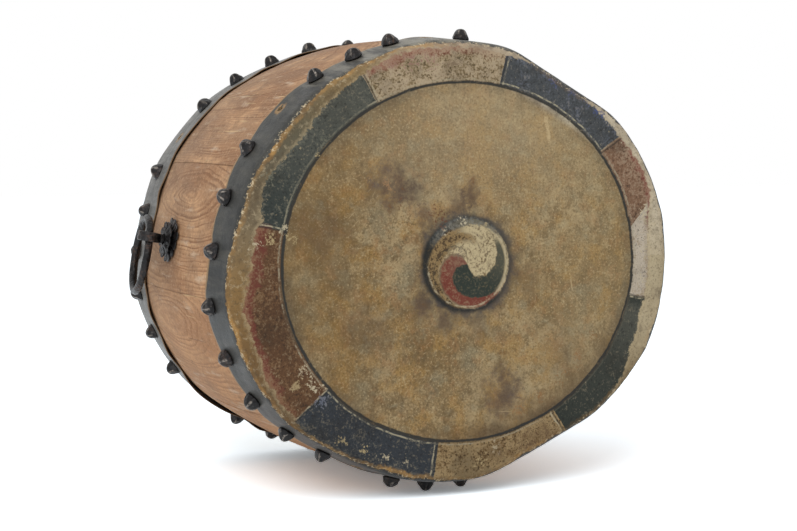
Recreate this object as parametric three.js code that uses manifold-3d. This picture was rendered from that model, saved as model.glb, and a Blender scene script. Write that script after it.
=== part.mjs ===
// A barrel drum lying on its side: twelve staves, two nailed hide heads and two ring handles.
// Millimetres and degrees. The drum's axis runs along Y, with the painted head at -Y. +Z is up.
import * as THREE from 'three';
import { mergeVertices } from 'three/addons/utils/BufferGeometryUtils.js';
import Module from 'manifold-3d';

// Shell: its radii are those of a corner where two staves meet, before the oval
const SHELL_LENGTH = 302;
const SHELL_BELLY_RADIUS = 224.5;
const SHELL_END_RADIUS = 215.5;
const SHELL_OVAL = 0.041; // the drum is this much wider and this much lower than round
const STAVE_THICKNESS = 16;
const STAVE_EDGE = 5; // chamfer of the bearing edge that the hide folds over
const STAVE_GAP = 0.3;
const FIRST_SEAM = 154.4; // angle of the first seam, counted from +X towards +Z
// Each stave in turn: its width in nail pitches, how far its first corner stands out from a round
// shell, and its flatness, where 0 is a round outside and 1 is a flat board
const STAVE_SHAPES = [
  { pitches: 3, corner: -2, flatness: 0.45 },
  { pitches: 3, corner: 6, flatness: 0.1 },
  { pitches: 3, corner: 4.5, flatness: 0.4 },
  { pitches: 2, corner: 0.5, flatness: 0 },
  { pitches: 3, corner: 0.5, flatness: 0.9 },
  { pitches: 2, corner: -1.5, flatness: 0.3 },
  { pitches: 3, corner: 5, flatness: 0.1 },
  { pitches: 3, corner: 3, flatness: 0 },
  { pitches: 3, corner: -2, flatness: 1 },
  { pitches: 2, corner: -2, flatness: 0.4 },
  { pitches: 3, corner: -1, flatness: 0.3 },
  { pitches: 2, corner: -3, flatness: 0.5 },
];

// Heads
const HIDE_THICKNESS = 2.5;
const HIDE_GAP = 0.3;
const SKIRT_WIDTH = 47; // along the shell, from the shell's end
const REAR_SKIRT_EXTRA = 13; // how much further the rear skirt reaches along the shell

// Nails
const NAIL_HEAD_RADIUS = 8.4;
const NAIL_HEAD_HEIGHT = 10.5;
const NAIL_SHANK_WIDTH = 4;
const NAIL_TIP_WIDTH = 1.6;
const NAIL_SHANK_LENGTH = 16;
const NAIL_EDGE_MARGIN = 12; // from the nail line to the front skirt's edge
const NAIL_SEAT_GAP = 0.3;
const NAIL_HOLE_CLEARANCE = 0.3;
const NAIL_SINK = 0.6; // how far the rear heads bite into the hide
const FRONT_CROWDING = 5.7; // the front nails stand closer at the top and bottom than at the sides
const FRONT_CROWDING_PHASE = 15.3;
const FRONT_NAIL_TURN = 1.5;
const FRONT_MISSING = [3, 4, 5, 6, 8, 12, 21, 25, 26, 27]; // a lost nail leaves its hole
const REAR_MISSING = [13, 20];

// Handles
const HANDLE_TURN = 21.1; // from the first seam, in degrees; the other handle is opposite
const HANDLE_SHIFT = 7; // from the middle of the shell towards the rear
const LOWER_ROSETTE_RADIUS = 23;
const UPPER_ROSETTE_RADIUS = 18.5;
const ROSETTE_PETALS = 12;
const PETAL_DEPTH = 2.6; // how far the notch between two petals reaches in
const ROSETTE_EDGE = 1.2; // thickness at the petals' ends
const ROSETTE_CROWN = 4; // thickness at the middle
const ROSETTE_GAP = 0.3;
const RING_DIAMETER = 80; // outside
const RING_BAR = 7.8;
const RING_DROP = 31; // the eye holds the ring this far above the ring's middle, in degrees
const RING_REST_GAP = 11; // between the resting ring, stiff in its eye, and the shell
const EYE_STRAP_WIDTH = 9;
const EYE_STRAP_THICKNESS = 2.5;
const EYE_SLIT = 0.8; // between the two legs of the split pin
const EYE_CLEARANCE = 0.4;
const EYE_LIFT = 3; // from the upper rosette to the loop
const CLINCH_LENGTH = 18; // each leg, bent over inside the shell
const CLINCH_GAP = 0.5;

// Finishes
const PINE = { color: 0xb98a62, roughness: 0.75, metalness: 0 };
const PAINTED_HIDE = { color: 0x8a7550, roughness: 0.8, metalness: 0 };
const DARK_HIDE = { color: 0x55585c, roughness: 0.7, metalness: 0 };
const FORGED_IRON = { color: 0x242426, roughness: 0.6, metalness: 0.8 };

// Angular layout
const NAIL_COUNT = STAVE_SHAPES.reduce((sum, stave) => sum + stave.pitches, 0);
const NAIL_PITCH = 360 / NAIL_COUNT;
const STEPS_PER_PITCH = 2; // facets of the shell for each nail pitch
const SHELL_STEPS = NAIL_COUNT * STEPS_PER_PITCH;
const HALF_LENGTH = SHELL_LENGTH / 2;
const SKIRT_EDGE = HALF_LENGTH - SKIRT_WIDTH;
const NAIL_LINE = SKIRT_EDGE + NAIL_EDGE_MARGIN;

const wasm = await Module();
wasm.setup();

function rad(degrees) {
  return THREE.MathUtils.degToRad(degrees);
}

// Each stave with the angle where it starts, its width and its two corners
function layOutStaves() {
  let start = FIRST_SEAM;
  return STAVE_SHAPES.map(({ pitches, corner, flatness }, index) => {
    const width = pitches * NAIL_PITCH;
    const { corner: nextCorner } = STAVE_SHAPES[(index + 1) % STAVE_SHAPES.length];
    const stave = { start, width, corner, nextCorner, flatness };
    start += width;
    return stave;
  });
}

const STAVES = layOutStaves();

// The shell's reach at this angle as a share of a round shell's
function staveFactor(angle) {
  const turned = THREE.MathUtils.euclideanModulo(angle - FIRST_SEAM, 360) + FIRST_SEAM;
  const stave = STAVES.find((item) => turned < item.start + item.width) ?? STAVES.at(-1);
  const share = (turned - stave.start) / stave.width;
  const corner = THREE.MathUtils.lerp(stave.corner, stave.nextCorner, share);
  const half = rad(stave.width / 2);
  const board = Math.cos(half) / Math.cos(2 * half * share - half);
  return (1 + corner / SHELL_END_RADIUS) * (1 - stave.flatness + stave.flatness * board);
}

function barrelRadius(y) {
  const sag = SHELL_BELLY_RADIUS - SHELL_END_RADIUS;
  return SHELL_BELLY_RADIUS - sag * (y / HALF_LENGTH) ** 2;
}

// A point at an angle round the drum, a place along it and a height over the staves' outside
function shellPoint(angle, y, height) {
  const reach = barrelRadius(y) * staveFactor(angle) + height;
  const x = reach * (1 + SHELL_OVAL) * Math.cos(rad(angle));
  const z = reach * (1 - SHELL_OVAL) * Math.sin(rad(angle));
  return new THREE.Vector3(x, y, z);
}

// The radius on the straight runs between the stations that a stave is built through
const STATIONS = [0, SKIRT_EDGE / 2, SKIRT_EDGE, HALF_LENGTH - STAVE_EDGE, HALF_LENGTH];
function facetRadius(y) {
  const place = Math.min(Math.abs(y), HALF_LENGTH);
  const end = Math.max(1, STATIONS.findIndex((station) => station >= place));
  const from = STATIONS[end - 1];
  const to = STATIONS[end];
  return THREE.MathUtils.mapLinear(place, from, to, barrelRadius(from), barrelRadius(to));
}

// The height of a point over the staves' outside
function heightOverShell(point) {
  const x = point.x / (1 + SHELL_OVAL);
  const z = point.z / (1 - SHELL_OVAL);
  const angle = THREE.MathUtils.radToDeg(Math.atan2(z, x));
  return Math.hypot(x, z) - facetRadius(point.y) * staveFactor(angle);
}

// A matrix whose Z axis leaves the shell squarely, with Y along the drum
function shellFrame(angle, y, height) {
  const step = 0.05;
  const along = shellPoint(angle, y + step, 0).sub(shellPoint(angle, y - step, 0));
  const round = shellPoint(angle + step, y, 0).sub(shellPoint(angle - step, y, 0));
  const out = new THREE.Vector3().crossVectors(along, round).normalize();
  const side = new THREE.Vector3().crossVectors(along, out).normalize();
  const axial = new THREE.Vector3().crossVectors(out, side);
  const frame = new THREE.Matrix4().makeBasis(side, axial, out);
  return frame.setPosition(shellPoint(angle, y, 0).addScaledVector(out, height));
}

// Solids and meshes

function solidOf(geometry) {
  const bare = geometry.index ? geometry.toNonIndexed() : geometry.clone();
  bare.deleteAttribute('normal');
  bare.deleteAttribute('uv');
  const merged = mergeVertices(bare, 1e-4);
  const mesh = new wasm.Mesh({
    numProp: 3,
    vertProperties: new Float32Array(merged.attributes.position.array),
    triVerts: new Uint32Array(merged.index.array),
  });
  return new wasm.Manifold(mesh);
}

function geometryOf(solid) {
  const mesh = solid.getMesh();
  const geometry = new THREE.BufferGeometry();
  geometry.setAttribute('position', new THREE.BufferAttribute(mesh.vertProperties, 3));
  geometry.setIndex(new THREE.BufferAttribute(mesh.triVerts, 1));
  geometry.computeVertexNormals();
  return geometry;
}

function placed(geometry, matrix) {
  return solidOf(geometry.clone().applyMatrix4(matrix));
}

function meshOf(name, geometry, finish) {
  const mesh = new THREE.Mesh(geometry, new THREE.MeshStandardMaterial(finish));
  mesh.name = name;
  return mesh;
}

function geometryFrom(points, triangles) {
  const geometry = new THREE.BufferGeometry();
  geometry.setFromPoints(points);
  geometry.setIndex(triangles);
  return geometry;
}

// A solid through closed sections of equal length, each of which runs out and back along itself
function loft(sections) {
  const count = sections[0].length;
  const triangles = [];
  for (let row = 0; row + 1 < sections.length; row += 1) {
    for (let i = 0; i < count; i += 1) {
      const a = row * count + i;
      const b = row * count + (i + 1) % count;
      triangles.push(a, a + count, b, b, a + count, b + count);
    }
  }
  const last = (sections.length - 1) * count;
  for (let i = 0; i + 1 < count / 2; i += 1) {
    const far = count - 1 - i;
    triangles.push(i, i + 1, far, i + 1, far - 1, far);
    triangles.push(last + i, last + far, last + i + 1, last + i + 1, last + far, last + far - 1);
  }
  return geometryFrom(sections.flat(), triangles);
}

// A solid from a first pole, through closed rings of points, to a last pole
function ringedSolid(firstPole, rings, lastPole) {
  const count = rings[0].length;
  const points = [firstPole, ...rings.flat(), lastPole];
  const final = points.length - 1;
  const start = final - count;
  const triangles = [];
  for (let i = 0; i < count; i += 1) {
    const next = (i + 1) % count;
    triangles.push(0, 1 + i, 1 + next);
    triangles.push(final, start + next, start + i);
    for (let ring = 0; ring + 1 < rings.length; ring += 1) {
      const a = 1 + ring * count + i;
      const b = 1 + ring * count + next;
      triangles.push(a, a + count, b, b, a + count, b + count);
    }
  }
  return geometryFrom(points, triangles);
}

// Nails

function nailAngle(index, isFront) {
  if (!isFront) {
    return index * NAIL_PITCH;
  }
  const even = (index + 0.5) * NAIL_PITCH;
  return even + FRONT_NAIL_TURN + FRONT_CROWDING * Math.sin(rad(2 * even + FRONT_CROWDING_PHASE));
}

function nailFrame(index, isFront, height) {
  const y = isFront ? -NAIL_LINE : NAIL_LINE;
  return shellFrame(nailAngle(index, isFront), y, height);
}

// A four-sided forged shank that narrows to its tip, from a little above zero down along -Z
function shankGeometry(topWidth, tipWidth, length, above) {
  const height = length + above;
  const corner = Math.SQRT2 / 2;
  const shank = new THREE.CylinderGeometry(topWidth * corner, tipWidth * corner, height, 4);
  shank.rotateX(Math.PI / 2);
  shank.rotateZ(Math.PI / 4);
  shank.translate(0, 0, above - height / 2);
  return shank;
}

function nailGeometry() {
  const sides = 7;
  const profile = [
    new THREE.Vector2(0, 0),
    new THREE.Vector2(NAIL_HEAD_RADIUS, 0),
    new THREE.Vector2(NAIL_HEAD_RADIUS * 0.84, NAIL_HEAD_HEIGHT * 0.55),
    new THREE.Vector2(NAIL_HEAD_RADIUS * 0.42, NAIL_HEAD_HEIGHT * 0.91),
    new THREE.Vector2(0, NAIL_HEAD_HEIGHT),
  ];
  const head = new THREE.LatheGeometry(profile, sides).rotateX(Math.PI / 2);
  const overlap = NAIL_HEAD_HEIGHT * 0.2;
  const shank = shankGeometry(NAIL_SHANK_WIDTH, NAIL_TIP_WIDTH, NAIL_SHANK_LENGTH, overlap);
  return geometryOf(solidOf(head).add(solidOf(shank)));
}

// The tapered hole that a nail leaves in the hide and the stave, from the top of the hide down
function nailHole(index, isFront) {
  const grow = 2 * NAIL_HOLE_CLEARANCE;
  const top = NAIL_SHANK_WIDTH + grow;
  const tip = NAIL_TIP_WIDTH + grow;
  const hole = shankGeometry(top, tip, NAIL_SHANK_LENGTH + NAIL_HOLE_CLEARANCE, HIDE_THICKNESS);
  return placed(hole, nailFrame(index, isFront, nailSeat(isFront)));
}

// Height of the underside of a nail's head over the staves
function nailSeat(isFront) {
  const top = HIDE_GAP + HIDE_THICKNESS;
  return isFront ? top + NAIL_SEAT_GAP : top - NAIL_SINK;
}

function nailIndices() {
  return Array.from({ length: NAIL_COUNT }, (_, index) => index);
}

function frontNails() {
  const geometry = nailGeometry();
  const present = nailIndices().filter((index) => !FRONT_MISSING.includes(index));
  return present.map((index) => {
    const number = String(index + 1).padStart(2, '0');
    const nail = meshOf(`front_nail_${number}`, geometry, FORGED_IRON);
    nail.applyMatrix4(nailFrame(index, true, nailSeat(true)));
    return nail;
  });
}

// Handles: a local frame with X round the drum and upwards, Y along the drum and Z outwards

const ROSETTE_TOP = ROSETTE_GAP + ROSETTE_CROWN + ROSETTE_GAP + ROSETTE_CROWN;
const BAR_TILT = rad(RING_DROP);
const RING_RADIUS = (RING_DIAMETER - RING_BAR) / 2;
// Room that the slanting, curved bar takes in the loop, at the strap's edges
const BAR_RUN = EYE_STRAP_WIDTH / 2 / Math.cos(BAR_TILT);
const EDGE_TILT = BAR_TILT + BAR_RUN / RING_RADIUS;
const BAR_SLANT = RING_BAR / 2 / Math.cos(EDGE_TILT) + BAR_RUN * Math.sin(BAR_TILT);
const BAR_BOW = BAR_RUN ** 2 / (2 * RING_RADIUS);
const EYE_HOLE_RADIUS = BAR_SLANT + BAR_BOW + EYE_CLEARANCE;
const EYE_RADIUS = EYE_HOLE_RADIUS + EYE_STRAP_THICKNESS;
const EYE_HEIGHT = ROSETTE_TOP + EYE_LIFT + EYE_RADIUS;
const LEG_REACH = EYE_SLIT / 2 + EYE_STRAP_THICKNESS;

// How far the flat facets of the shell's inside stand in from its true curve, round and along it
const ROUND_SAG = SHELL_BELLY_RADIUS * (1 - Math.cos(Math.PI / SHELL_STEPS));
const LENGTH_SAG = (SHELL_BELLY_RADIUS - SHELL_END_RADIUS) * (SKIRT_EDGE / 4 / HALF_LENGTH) ** 2;

// How far the shell rises over the flat seat of the lower rosette, as on a waisted shell
function seatRise(origin, side, axial) {
  const steps = 24;
  let rise = 0;
  for (const share of [0, 0.5, 1]) {
    for (let i = 0; i < steps; i += 1) {
      const angle = (2 * Math.PI * i) / steps;
      const reach = share * LOWER_ROSETTE_RADIUS;
      const point = origin.clone().addScaledVector(axial, reach * Math.cos(angle));
      point.addScaledVector(side, reach * Math.sin(angle));
      rise = Math.max(rise, -heightOverShell(point) * (1 + SHELL_OVAL));
    }
  }
  return rise;
}

function handleFrame(isLeft) {
  const angle = FIRST_SEAM + HANDLE_TURN + (isLeft ? 0 : 180);
  const frame = shellFrame(angle, HANDLE_SHIFT, 0);
  const side = new THREE.Vector3();
  const axial = new THREE.Vector3();
  const out = new THREE.Vector3();
  frame.extractBasis(side, axial, out);
  const origin = shellPoint(angle, HANDLE_SHIFT, 0);
  origin.addScaledVector(out, seatRise(origin, side, axial));
  const inside = shellPoint(angle, HANDLE_SHIFT, -STAVE_THICKNESS);
  const wall = origin.clone().sub(inside).dot(out) + ROUND_SAG + LENGTH_SAG;
  return { side: side.z < 0 ? side.negate() : side, axial, out, origin, wall };
}

// The handle's own directions as a matrix: X along the drum, Y outwards, Z round the drum
function strapMatrix(handle) {
  const third = new THREE.Vector3().crossVectors(handle.axial, handle.out);
  return new THREE.Matrix4().makeBasis(handle.axial, handle.out, third).setPosition(handle.origin);
}

// A flat scalloped plate with a crowned, fluted top
function rosetteGeometry(radius) {
  const stepsPerPetal = 3;
  const steps = ROSETTE_PETALS * stepsPerPetal;
  const scallop = (i) => Math.abs(Math.sin((Math.PI * i) / stepsPerPetal));
  const ring = (share, height, flute) => Array.from({ length: steps }, (_, i) => {
    const angle = (2 * Math.PI * i) / steps;
    const reach = share * radius - PETAL_DEPTH * share * (1 - scallop(i));
    const lift = height - flute * (1 - scallop(i));
    return new THREE.Vector3(reach * Math.cos(angle), reach * Math.sin(angle), lift);
  });
  const flute = ROSETTE_EDGE / 2;
  const middle = ROSETTE_EDGE + (ROSETTE_CROWN - ROSETTE_EDGE) * 0.75;
  const rings = [
    ring(0.5, middle, 0),
    ring(1, ROSETTE_EDGE, flute),
    ring(1, 0, 0),
  ];
  const top = new THREE.Vector3(0, 0, ROSETTE_CROWN);
  return ringedSolid(top, rings, new THREE.Vector3(0, 0, 0));
}

// The slot that both legs of the split pin pass through, centred on the handle's normal
function pinSlot(handle) {
  const reach = STAVE_THICKNESS * 2;
  const wide = 2 * (LEG_REACH + EYE_CLEARANCE);
  const slot = new THREE.BoxGeometry(wide, 2 * reach, EYE_STRAP_WIDTH + 2 * EYE_CLEARANCE);
  return placed(slot, strapMatrix(handle));
}

function rosette(name, handle, radius, height) {
  const frame = strapMatrix(handle).multiply(new THREE.Matrix4().makeRotationX(-Math.PI / 2));
  frame.setPosition(handle.origin.clone().addScaledVector(handle.out, height));
  const solid = placed(rosetteGeometry(radius), frame).subtract(pinSlot(handle));
  return meshOf(name, geometryOf(solid), FORGED_IRON);
}

// The strap: down one foot, up a leg, round the loop, down the other leg and along its foot
function eyeGeometry(wall) {
  const slit = EYE_SLIT / 2;
  const inside = Math.asin(slit / EYE_HOLE_RADIUS);
  const outside = Math.asin(LEG_REACH / EYE_RADIUS);
  const footTop = -wall - CLINCH_GAP;
  const footBottom = footTop - EYE_STRAP_THICKNESS;
  const down = -Math.PI / 2;
  const outline = new THREE.Shape();
  outline.moveTo(-CLINCH_LENGTH, footBottom);
  outline.lineTo(-slit, footBottom);
  outline.absarc(0, EYE_HEIGHT, EYE_HOLE_RADIUS, down - inside, down + inside - 2 * Math.PI, true);
  outline.lineTo(slit, footBottom);
  outline.lineTo(CLINCH_LENGTH, footBottom);
  outline.lineTo(CLINCH_LENGTH, footTop);
  outline.lineTo(LEG_REACH, footTop);
  outline.absarc(0, EYE_HEIGHT, EYE_RADIUS, down + outside, down - outside + 2 * Math.PI, false);
  outline.lineTo(-LEG_REACH, footTop);
  outline.lineTo(-CLINCH_LENGTH, footTop);
  outline.closePath();
  const options = { depth: EYE_STRAP_WIDTH, bevelEnabled: false, curveSegments: 14 };
  return new THREE.ExtrudeGeometry(outline, options).translate(0, 0, -EYE_STRAP_WIDTH / 2);
}

// Middle of the ring, the way to it from the eye, and the way out of its plane, at a lean
// of the whole ring about the upright axis of the eye, in towards the shell
function ringPose(handle, lean) {
  const back = handle.axial.clone().multiplyScalar(Math.cos(lean));
  back.addScaledVector(handle.out, -Math.sin(lean));
  const plane = handle.out.clone().multiplyScalar(Math.cos(lean));
  plane.addScaledVector(handle.axial, Math.sin(lean));
  const away = back.multiplyScalar(Math.cos(BAR_TILT));
  away.addScaledVector(handle.side, -Math.sin(BAR_TILT));
  const hinge = handle.origin.clone().addScaledVector(handle.out, EYE_HEIGHT);
  const middle = hinge.addScaledVector(away, RING_RADIUS);
  return { middle, away, plane };
}

// Least height over the shell of the ring's bar
function ringGap(handle, lean) {
  const { middle, away, plane } = ringPose(handle, lean);
  const across = new THREE.Vector3().crossVectors(plane, away);
  const samples = 48;
  let least = Infinity;
  for (let i = 0; i < samples; i += 1) {
    const angle = (2 * Math.PI * i) / samples;
    const point = middle.clone().addScaledVector(away, RING_RADIUS * Math.cos(angle));
    point.addScaledVector(across, RING_RADIUS * Math.sin(angle));
    least = Math.min(least, heightOverShell(point) * (1 - SHELL_OVAL) - RING_BAR / 2);
  }
  return least;
}

// The lean at which the ring comes to lie on the shell, found by halving
function restLean(handle) {
  let clear = 0;
  let touching = Math.PI / 3;
  for (let i = 0; i < 40; i += 1) {
    const middle = (clear + touching) / 2;
    if (ringGap(handle, middle) > RING_REST_GAP) {
      clear = middle;
    } else {
      touching = middle;
    }
  }
  return clear;
}

function ringMesh(name, handle) {
  const { middle, away, plane } = ringPose(handle, restLean(handle));
  const across = new THREE.Vector3().crossVectors(plane, away);
  const barSides = 8;
  const steps = 28;
  const torus = new THREE.TorusGeometry(RING_RADIUS, RING_BAR / 2, barSides, steps);
  const ring = meshOf(name, geometryOf(solidOf(torus)), FORGED_IRON);
  ring.applyMatrix4(new THREE.Matrix4().makeBasis(away, across, plane).setPosition(middle));
  return ring;
}

function handleGroup(side) {
  const handle = handleFrame(side === 'left');
  const upperHeight = ROSETTE_GAP + ROSETTE_CROWN + ROSETTE_GAP;
  const eye = meshOf(`${side}_eye_pin`, eyeGeometry(handle.wall), FORGED_IRON);
  eye.applyMatrix4(strapMatrix(handle));
  const group = new THREE.Group();
  group.add(
    rosette(`${side}_lower_rosette`, handle, LOWER_ROSETTE_RADIUS, ROSETTE_GAP),
    rosette(`${side}_upper_rosette`, handle, UPPER_ROSETTE_RADIUS, upperHeight),
    eye,
    ringMesh(`${side}_ring`, handle),
  );
  return group;
}

// Heads: an outside and an inside surface over the same rounded edge

function hideRing(isFront, depth, height) {
  const y = isFront ? depth - HALF_LENGTH : HALF_LENGTH - depth;
  const ring = Array.from({ length: SHELL_STEPS }, (_, i) => {
    const angle = FIRST_SEAM + (i * 360) / SHELL_STEPS;
    return shellPoint(angle, y, height);
  });
  return isFront ? ring : ring.reverse();
}

// Rings of one surface of the hide, at a distance over the wood, from the face to the skirt's edge
function hideSurface(isFront, over, turns) {
  const radius = STAVE_EDGE + over;
  const fold = turns.map((turn) => {
    const depth = STAVE_EDGE - radius * Math.cos(rad(turn));
    const height = radius * Math.sin(rad(turn)) - STAVE_EDGE;
    return hideRing(isFront, depth, height);
  });
  const skirt = isFront ? [SKIRT_WIDTH] : [SKIRT_WIDTH, SKIRT_WIDTH + REAR_SKIRT_EXTRA];
  return [...fold, ...skirt.map((depth) => hideRing(isFront, depth, over))];
}

function headSolid(isFront) {
  const top = HIDE_GAP + HIDE_THICKNESS;
  const out = isFront ? -1 : 1;
  const outside = hideSurface(isFront, top, [0, 45, 90]);
  const inside = hideSurface(isFront, HIDE_GAP, [0, 90]);
  const rings = [...outside, ...inside.reverse()];
  const faceMiddle = new THREE.Vector3(0, out * (HALF_LENGTH + top), 0);
  const backMiddle = new THREE.Vector3(0, out * (HALF_LENGTH + HIDE_GAP), 0);
  return solidOf(ringedSolid(faceMiddle, rings, backMiddle));
}

function frontHead() {
  const holes = nailIndices().map((index) => nailHole(index, true));
  const solid = holes.reduce((hide, hole) => hide.subtract(hole), headSolid(true));
  return meshOf('front_head', geometryOf(solid), PAINTED_HIDE);
}

// The rear head carries its nails as one solid with them, and keeps the holes of the lost ones
function rearHead() {
  const nail = nailGeometry();
  let solid = headSolid(false);
  for (const index of nailIndices()) {
    if (REAR_MISSING.includes(index)) {
      solid = solid.subtract(nailHole(index, false));
    } else {
      solid = solid.add(placed(nail, nailFrame(index, false, nailSeat(false))));
    }
  }
  return meshOf('rear_head', geometryOf(solid), DARK_HIDE);
}

// Staves

// Places along a stave, with the height of the outside there
function staveStations() {
  const half = STATIONS.map((y) => ({ y, height: y < HALF_LENGTH ? 0 : -STAVE_EDGE }));
  const mirrored = half.slice(1).map(({ y, height }) => ({ y: -y, height })).reverse();
  return [...mirrored, ...half];
}

function staveGeometry(stave) {
  const steps = Math.round((stave.width / NAIL_PITCH) * STEPS_PER_PITCH);
  const inset = THREE.MathUtils.radToDeg(STAVE_GAP / 2 / SHELL_END_RADIUS);
  const angles = Array.from({ length: steps + 1 }, (_, i) => {
    const even = stave.start + (stave.width * i) / steps;
    return THREE.MathUtils.clamp(even, stave.start + inset, stave.start + stave.width - inset);
  });
  const sections = staveStations().map(({ y, height }) => {
    const outside = angles.map((angle) => shellPoint(angle, y, height));
    const inside = angles.map((angle) => shellPoint(angle, y, -STAVE_THICKNESS));
    return [...outside, ...inside.reverse()];
  });
  return loft(sections);
}

function staveMeshes() {
  const handles = [handleFrame(true), handleFrame(false)];
  const slots = handles.map((handle) => pinSlot(handle));
  const frontHoles = nailIndices().map((index) => nailHole(index, true));
  const rearHoles = nailIndices().map((index) => nailHole(index, false));
  return STAVES.map((stave, index) => {
    const whole = solidOf(staveGeometry(stave));
    const cuts = [...slots, ...frontHoles, ...rearHoles];
    const solid = cuts.reduce((wood, cut) => wood.subtract(cut), whole);
    const number = String(index + 1).padStart(2, '0');
    return meshOf(`stave_${number}`, geometryOf(solid), PINE);
  });
}

// The whole drum, centred over the origin and raised so that its lowest nails stand on the floor
const drum = new THREE.Group();
drum.add(...staveMeshes(), frontHead(), rearHead(), ...frontNails());
drum.add(handleGroup('left'), handleGroup('right'));
drum.updateMatrixWorld(true);
const box = new THREE.Box3().setFromObject(drum, true);
drum.position.set(-(box.min.x + box.max.x) / 2, 0, -box.min.z);

export default drum;
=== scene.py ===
# Old barrel drum lying on its side: pine staves, two nailed hides (the front one painted with a
# three-comma disc and a ring of coloured panels), forged nails and two ring handles on rosettes.
import math

import bmesh
import bpy
import numpy as np
from mathutils import Matrix, Vector


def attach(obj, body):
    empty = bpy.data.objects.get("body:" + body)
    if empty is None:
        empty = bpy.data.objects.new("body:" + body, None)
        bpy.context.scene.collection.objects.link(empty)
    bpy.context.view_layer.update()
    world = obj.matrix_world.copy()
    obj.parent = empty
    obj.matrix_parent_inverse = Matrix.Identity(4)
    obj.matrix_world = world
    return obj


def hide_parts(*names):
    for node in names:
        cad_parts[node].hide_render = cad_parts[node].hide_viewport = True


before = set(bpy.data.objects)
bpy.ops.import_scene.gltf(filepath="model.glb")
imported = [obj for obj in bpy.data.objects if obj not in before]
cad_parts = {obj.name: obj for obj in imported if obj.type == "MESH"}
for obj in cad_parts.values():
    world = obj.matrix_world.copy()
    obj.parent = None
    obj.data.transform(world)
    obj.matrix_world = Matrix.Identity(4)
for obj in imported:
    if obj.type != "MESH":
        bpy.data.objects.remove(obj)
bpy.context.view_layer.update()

# Lengths are in millimetres and angles in degrees until a mesh is made in metres.
MM = 0.001
AXIS_X = -2.073
AXIS_Z = 223.544

SHELL_HALF = 151.0
BELLY_RADIUS = 224.5
END_RADIUS = 215.5
OVAL = 0.041
STAVE_THICKNESS = 16.0
STAVE_EDGE = 5.0
STAVE_GAP = 0.12
SEAM_ROUND = 0.5
SEAM_GRIME = 1.6
END_CHAMFER = 2.0
CHAMFER_LENGTH = 4.0
FIRST_SEAM = 154.4
CORNER_WEAR = 2.6
NAIL_PITCH = 11.25
# Width in nail pitches, raise of the first corner and flatness of each stave.
STAVES = (
    (3, -2.0, 0.45), (3, 6.0, 0.1), (3, 4.5, 0.4), (2, 0.5, 0.0),
    (3, 0.5, 0.9), (2, -1.5, 0.3), (3, 5.0, 0.1), (3, 3.0, 0.0),
    (3, -2.0, 1.0), (2, -2.0, 0.4), (3, -1.0, 0.3), (2, -3.0, 0.5),
)
# Heart of the cathedral grain on each stave: share of the width, distance along, year rings per mm.
GRAIN_HEARTS = (
    (0.24, -20.0, 0.26), (0.24, 14.0, 0.19), (0.6, -60.0, 0.22), (0.5, 90.0, 0.3),
    (0.4, 20.0, 0.24), (0.55, -90.0, 0.32), (0.35, 40.0, 0.2), (0.7, -30.0, 0.27),
    (0.5, 70.0, 0.22), (0.45, -70.0, 0.3), (0.4, 120.0, 0.25), (-0.6, 10.0, 0.33),
)

HIDE_THICKNESS = 2.5
HIDE_GAP = 0.3
SKIRT_WIDTH = 47.0
REAR_SKIRT_WIDTH = 60.0
FACE_REACH = 212.0
# Place of every skirt's raw edge past the fold, whatever its width.
RAW_EDGE = 45.0

NAIL_COUNT = 32
NAIL_RADIUS = 8.3
NAIL_HEIGHT = 10.4
NAIL_LINE = 116.0
NAIL_DEPTH = SHELL_HALF - NAIL_LINE
FRONT_SEAT = 3.1
REAR_SEAT = 2.2
FRONT_MISSING = (3, 4, 5, 6, 8, 12, 21, 25, 26, 27)
REAR_MISSING = (13, 20)

HANDLE_TURN = 21.1
HANDLE_SHIFT = 7.0
LOWER_ROSETTE = 23.0
UPPER_ROSETTE = 18.5
RING_RADIUS = 36.1
RING_BAR = 3.9
EYE_RISE = 22.628
EYE_HOLE = 8.528
EYE_STRAP = 4.5
EYE_THICKNESS = 2.6
EYE_LEG_GAP = 0.8

# Fineness of the meshes: around a hide, across one nail pitch of wood, around a nail, a bar and a ring.
HIDE_STEPS = 512
STAVE_STEPS = 18
NAIL_STEPS = 32
BAR_STEPS = 20
RING_STEPS = 128
PETAL_STEPS = 14

# Painted face, from the drum's axis: middle and radius of the ring line and of the disc.
LINE_X, LINE_Z, LINE_RADIUS = 4.4, -1.2, 176.5
DISC_X, DISC_Z, DISC_RADIUS = 7.3, -2.7, 43.0
COMMA_TWIST = 0.45
# Painted panels: start in degrees from +X towards +Z, colour, worn colour, wear.
PANELS = (
    (11.0, (122, 93, 72), (154, 130, 108), 0.49),
    (35.8, (70, 73, 75), (96, 101, 112), 0.46),
    (76.3, (124, 106, 76), (174, 156, 129), 0.53),
    (117.1, (50, 55, 52), (80, 82, 74), 0.46),
    (168.2, (88, 62, 42), (122, 94, 66), 0.48),
    (222.1, (48, 52, 57), (88, 88, 84), 0.45),
    (261.9, (92, 68, 40), (152, 130, 94), 0.54),
    (301.1, (44, 48, 43), (82, 82, 68), 0.4),
    (347.0, (190, 178, 160), (146, 128, 104), 0.47),
)
# Outer reach of the paint from the middle of the face, around it.
PAINT_LIMIT = 250.0
PAINT_REACH = (
    (0, 200), (11, 202), (17, 211), (24, 212), (36, 206), (52, 206), (67, 208), (77, 209), (104, 211),
    (117, 205), (129, 201), (142, 195), (158, 203), (168, 198), (179, 201), (191, 211), (205, 213),
    (216, 217), (232, 215), (253, 214), (263, 214), (282, 212), (300, 217), (314, 219), (322, 212),
    (330, 206), (342, 200), (348, 200),
)
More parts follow.
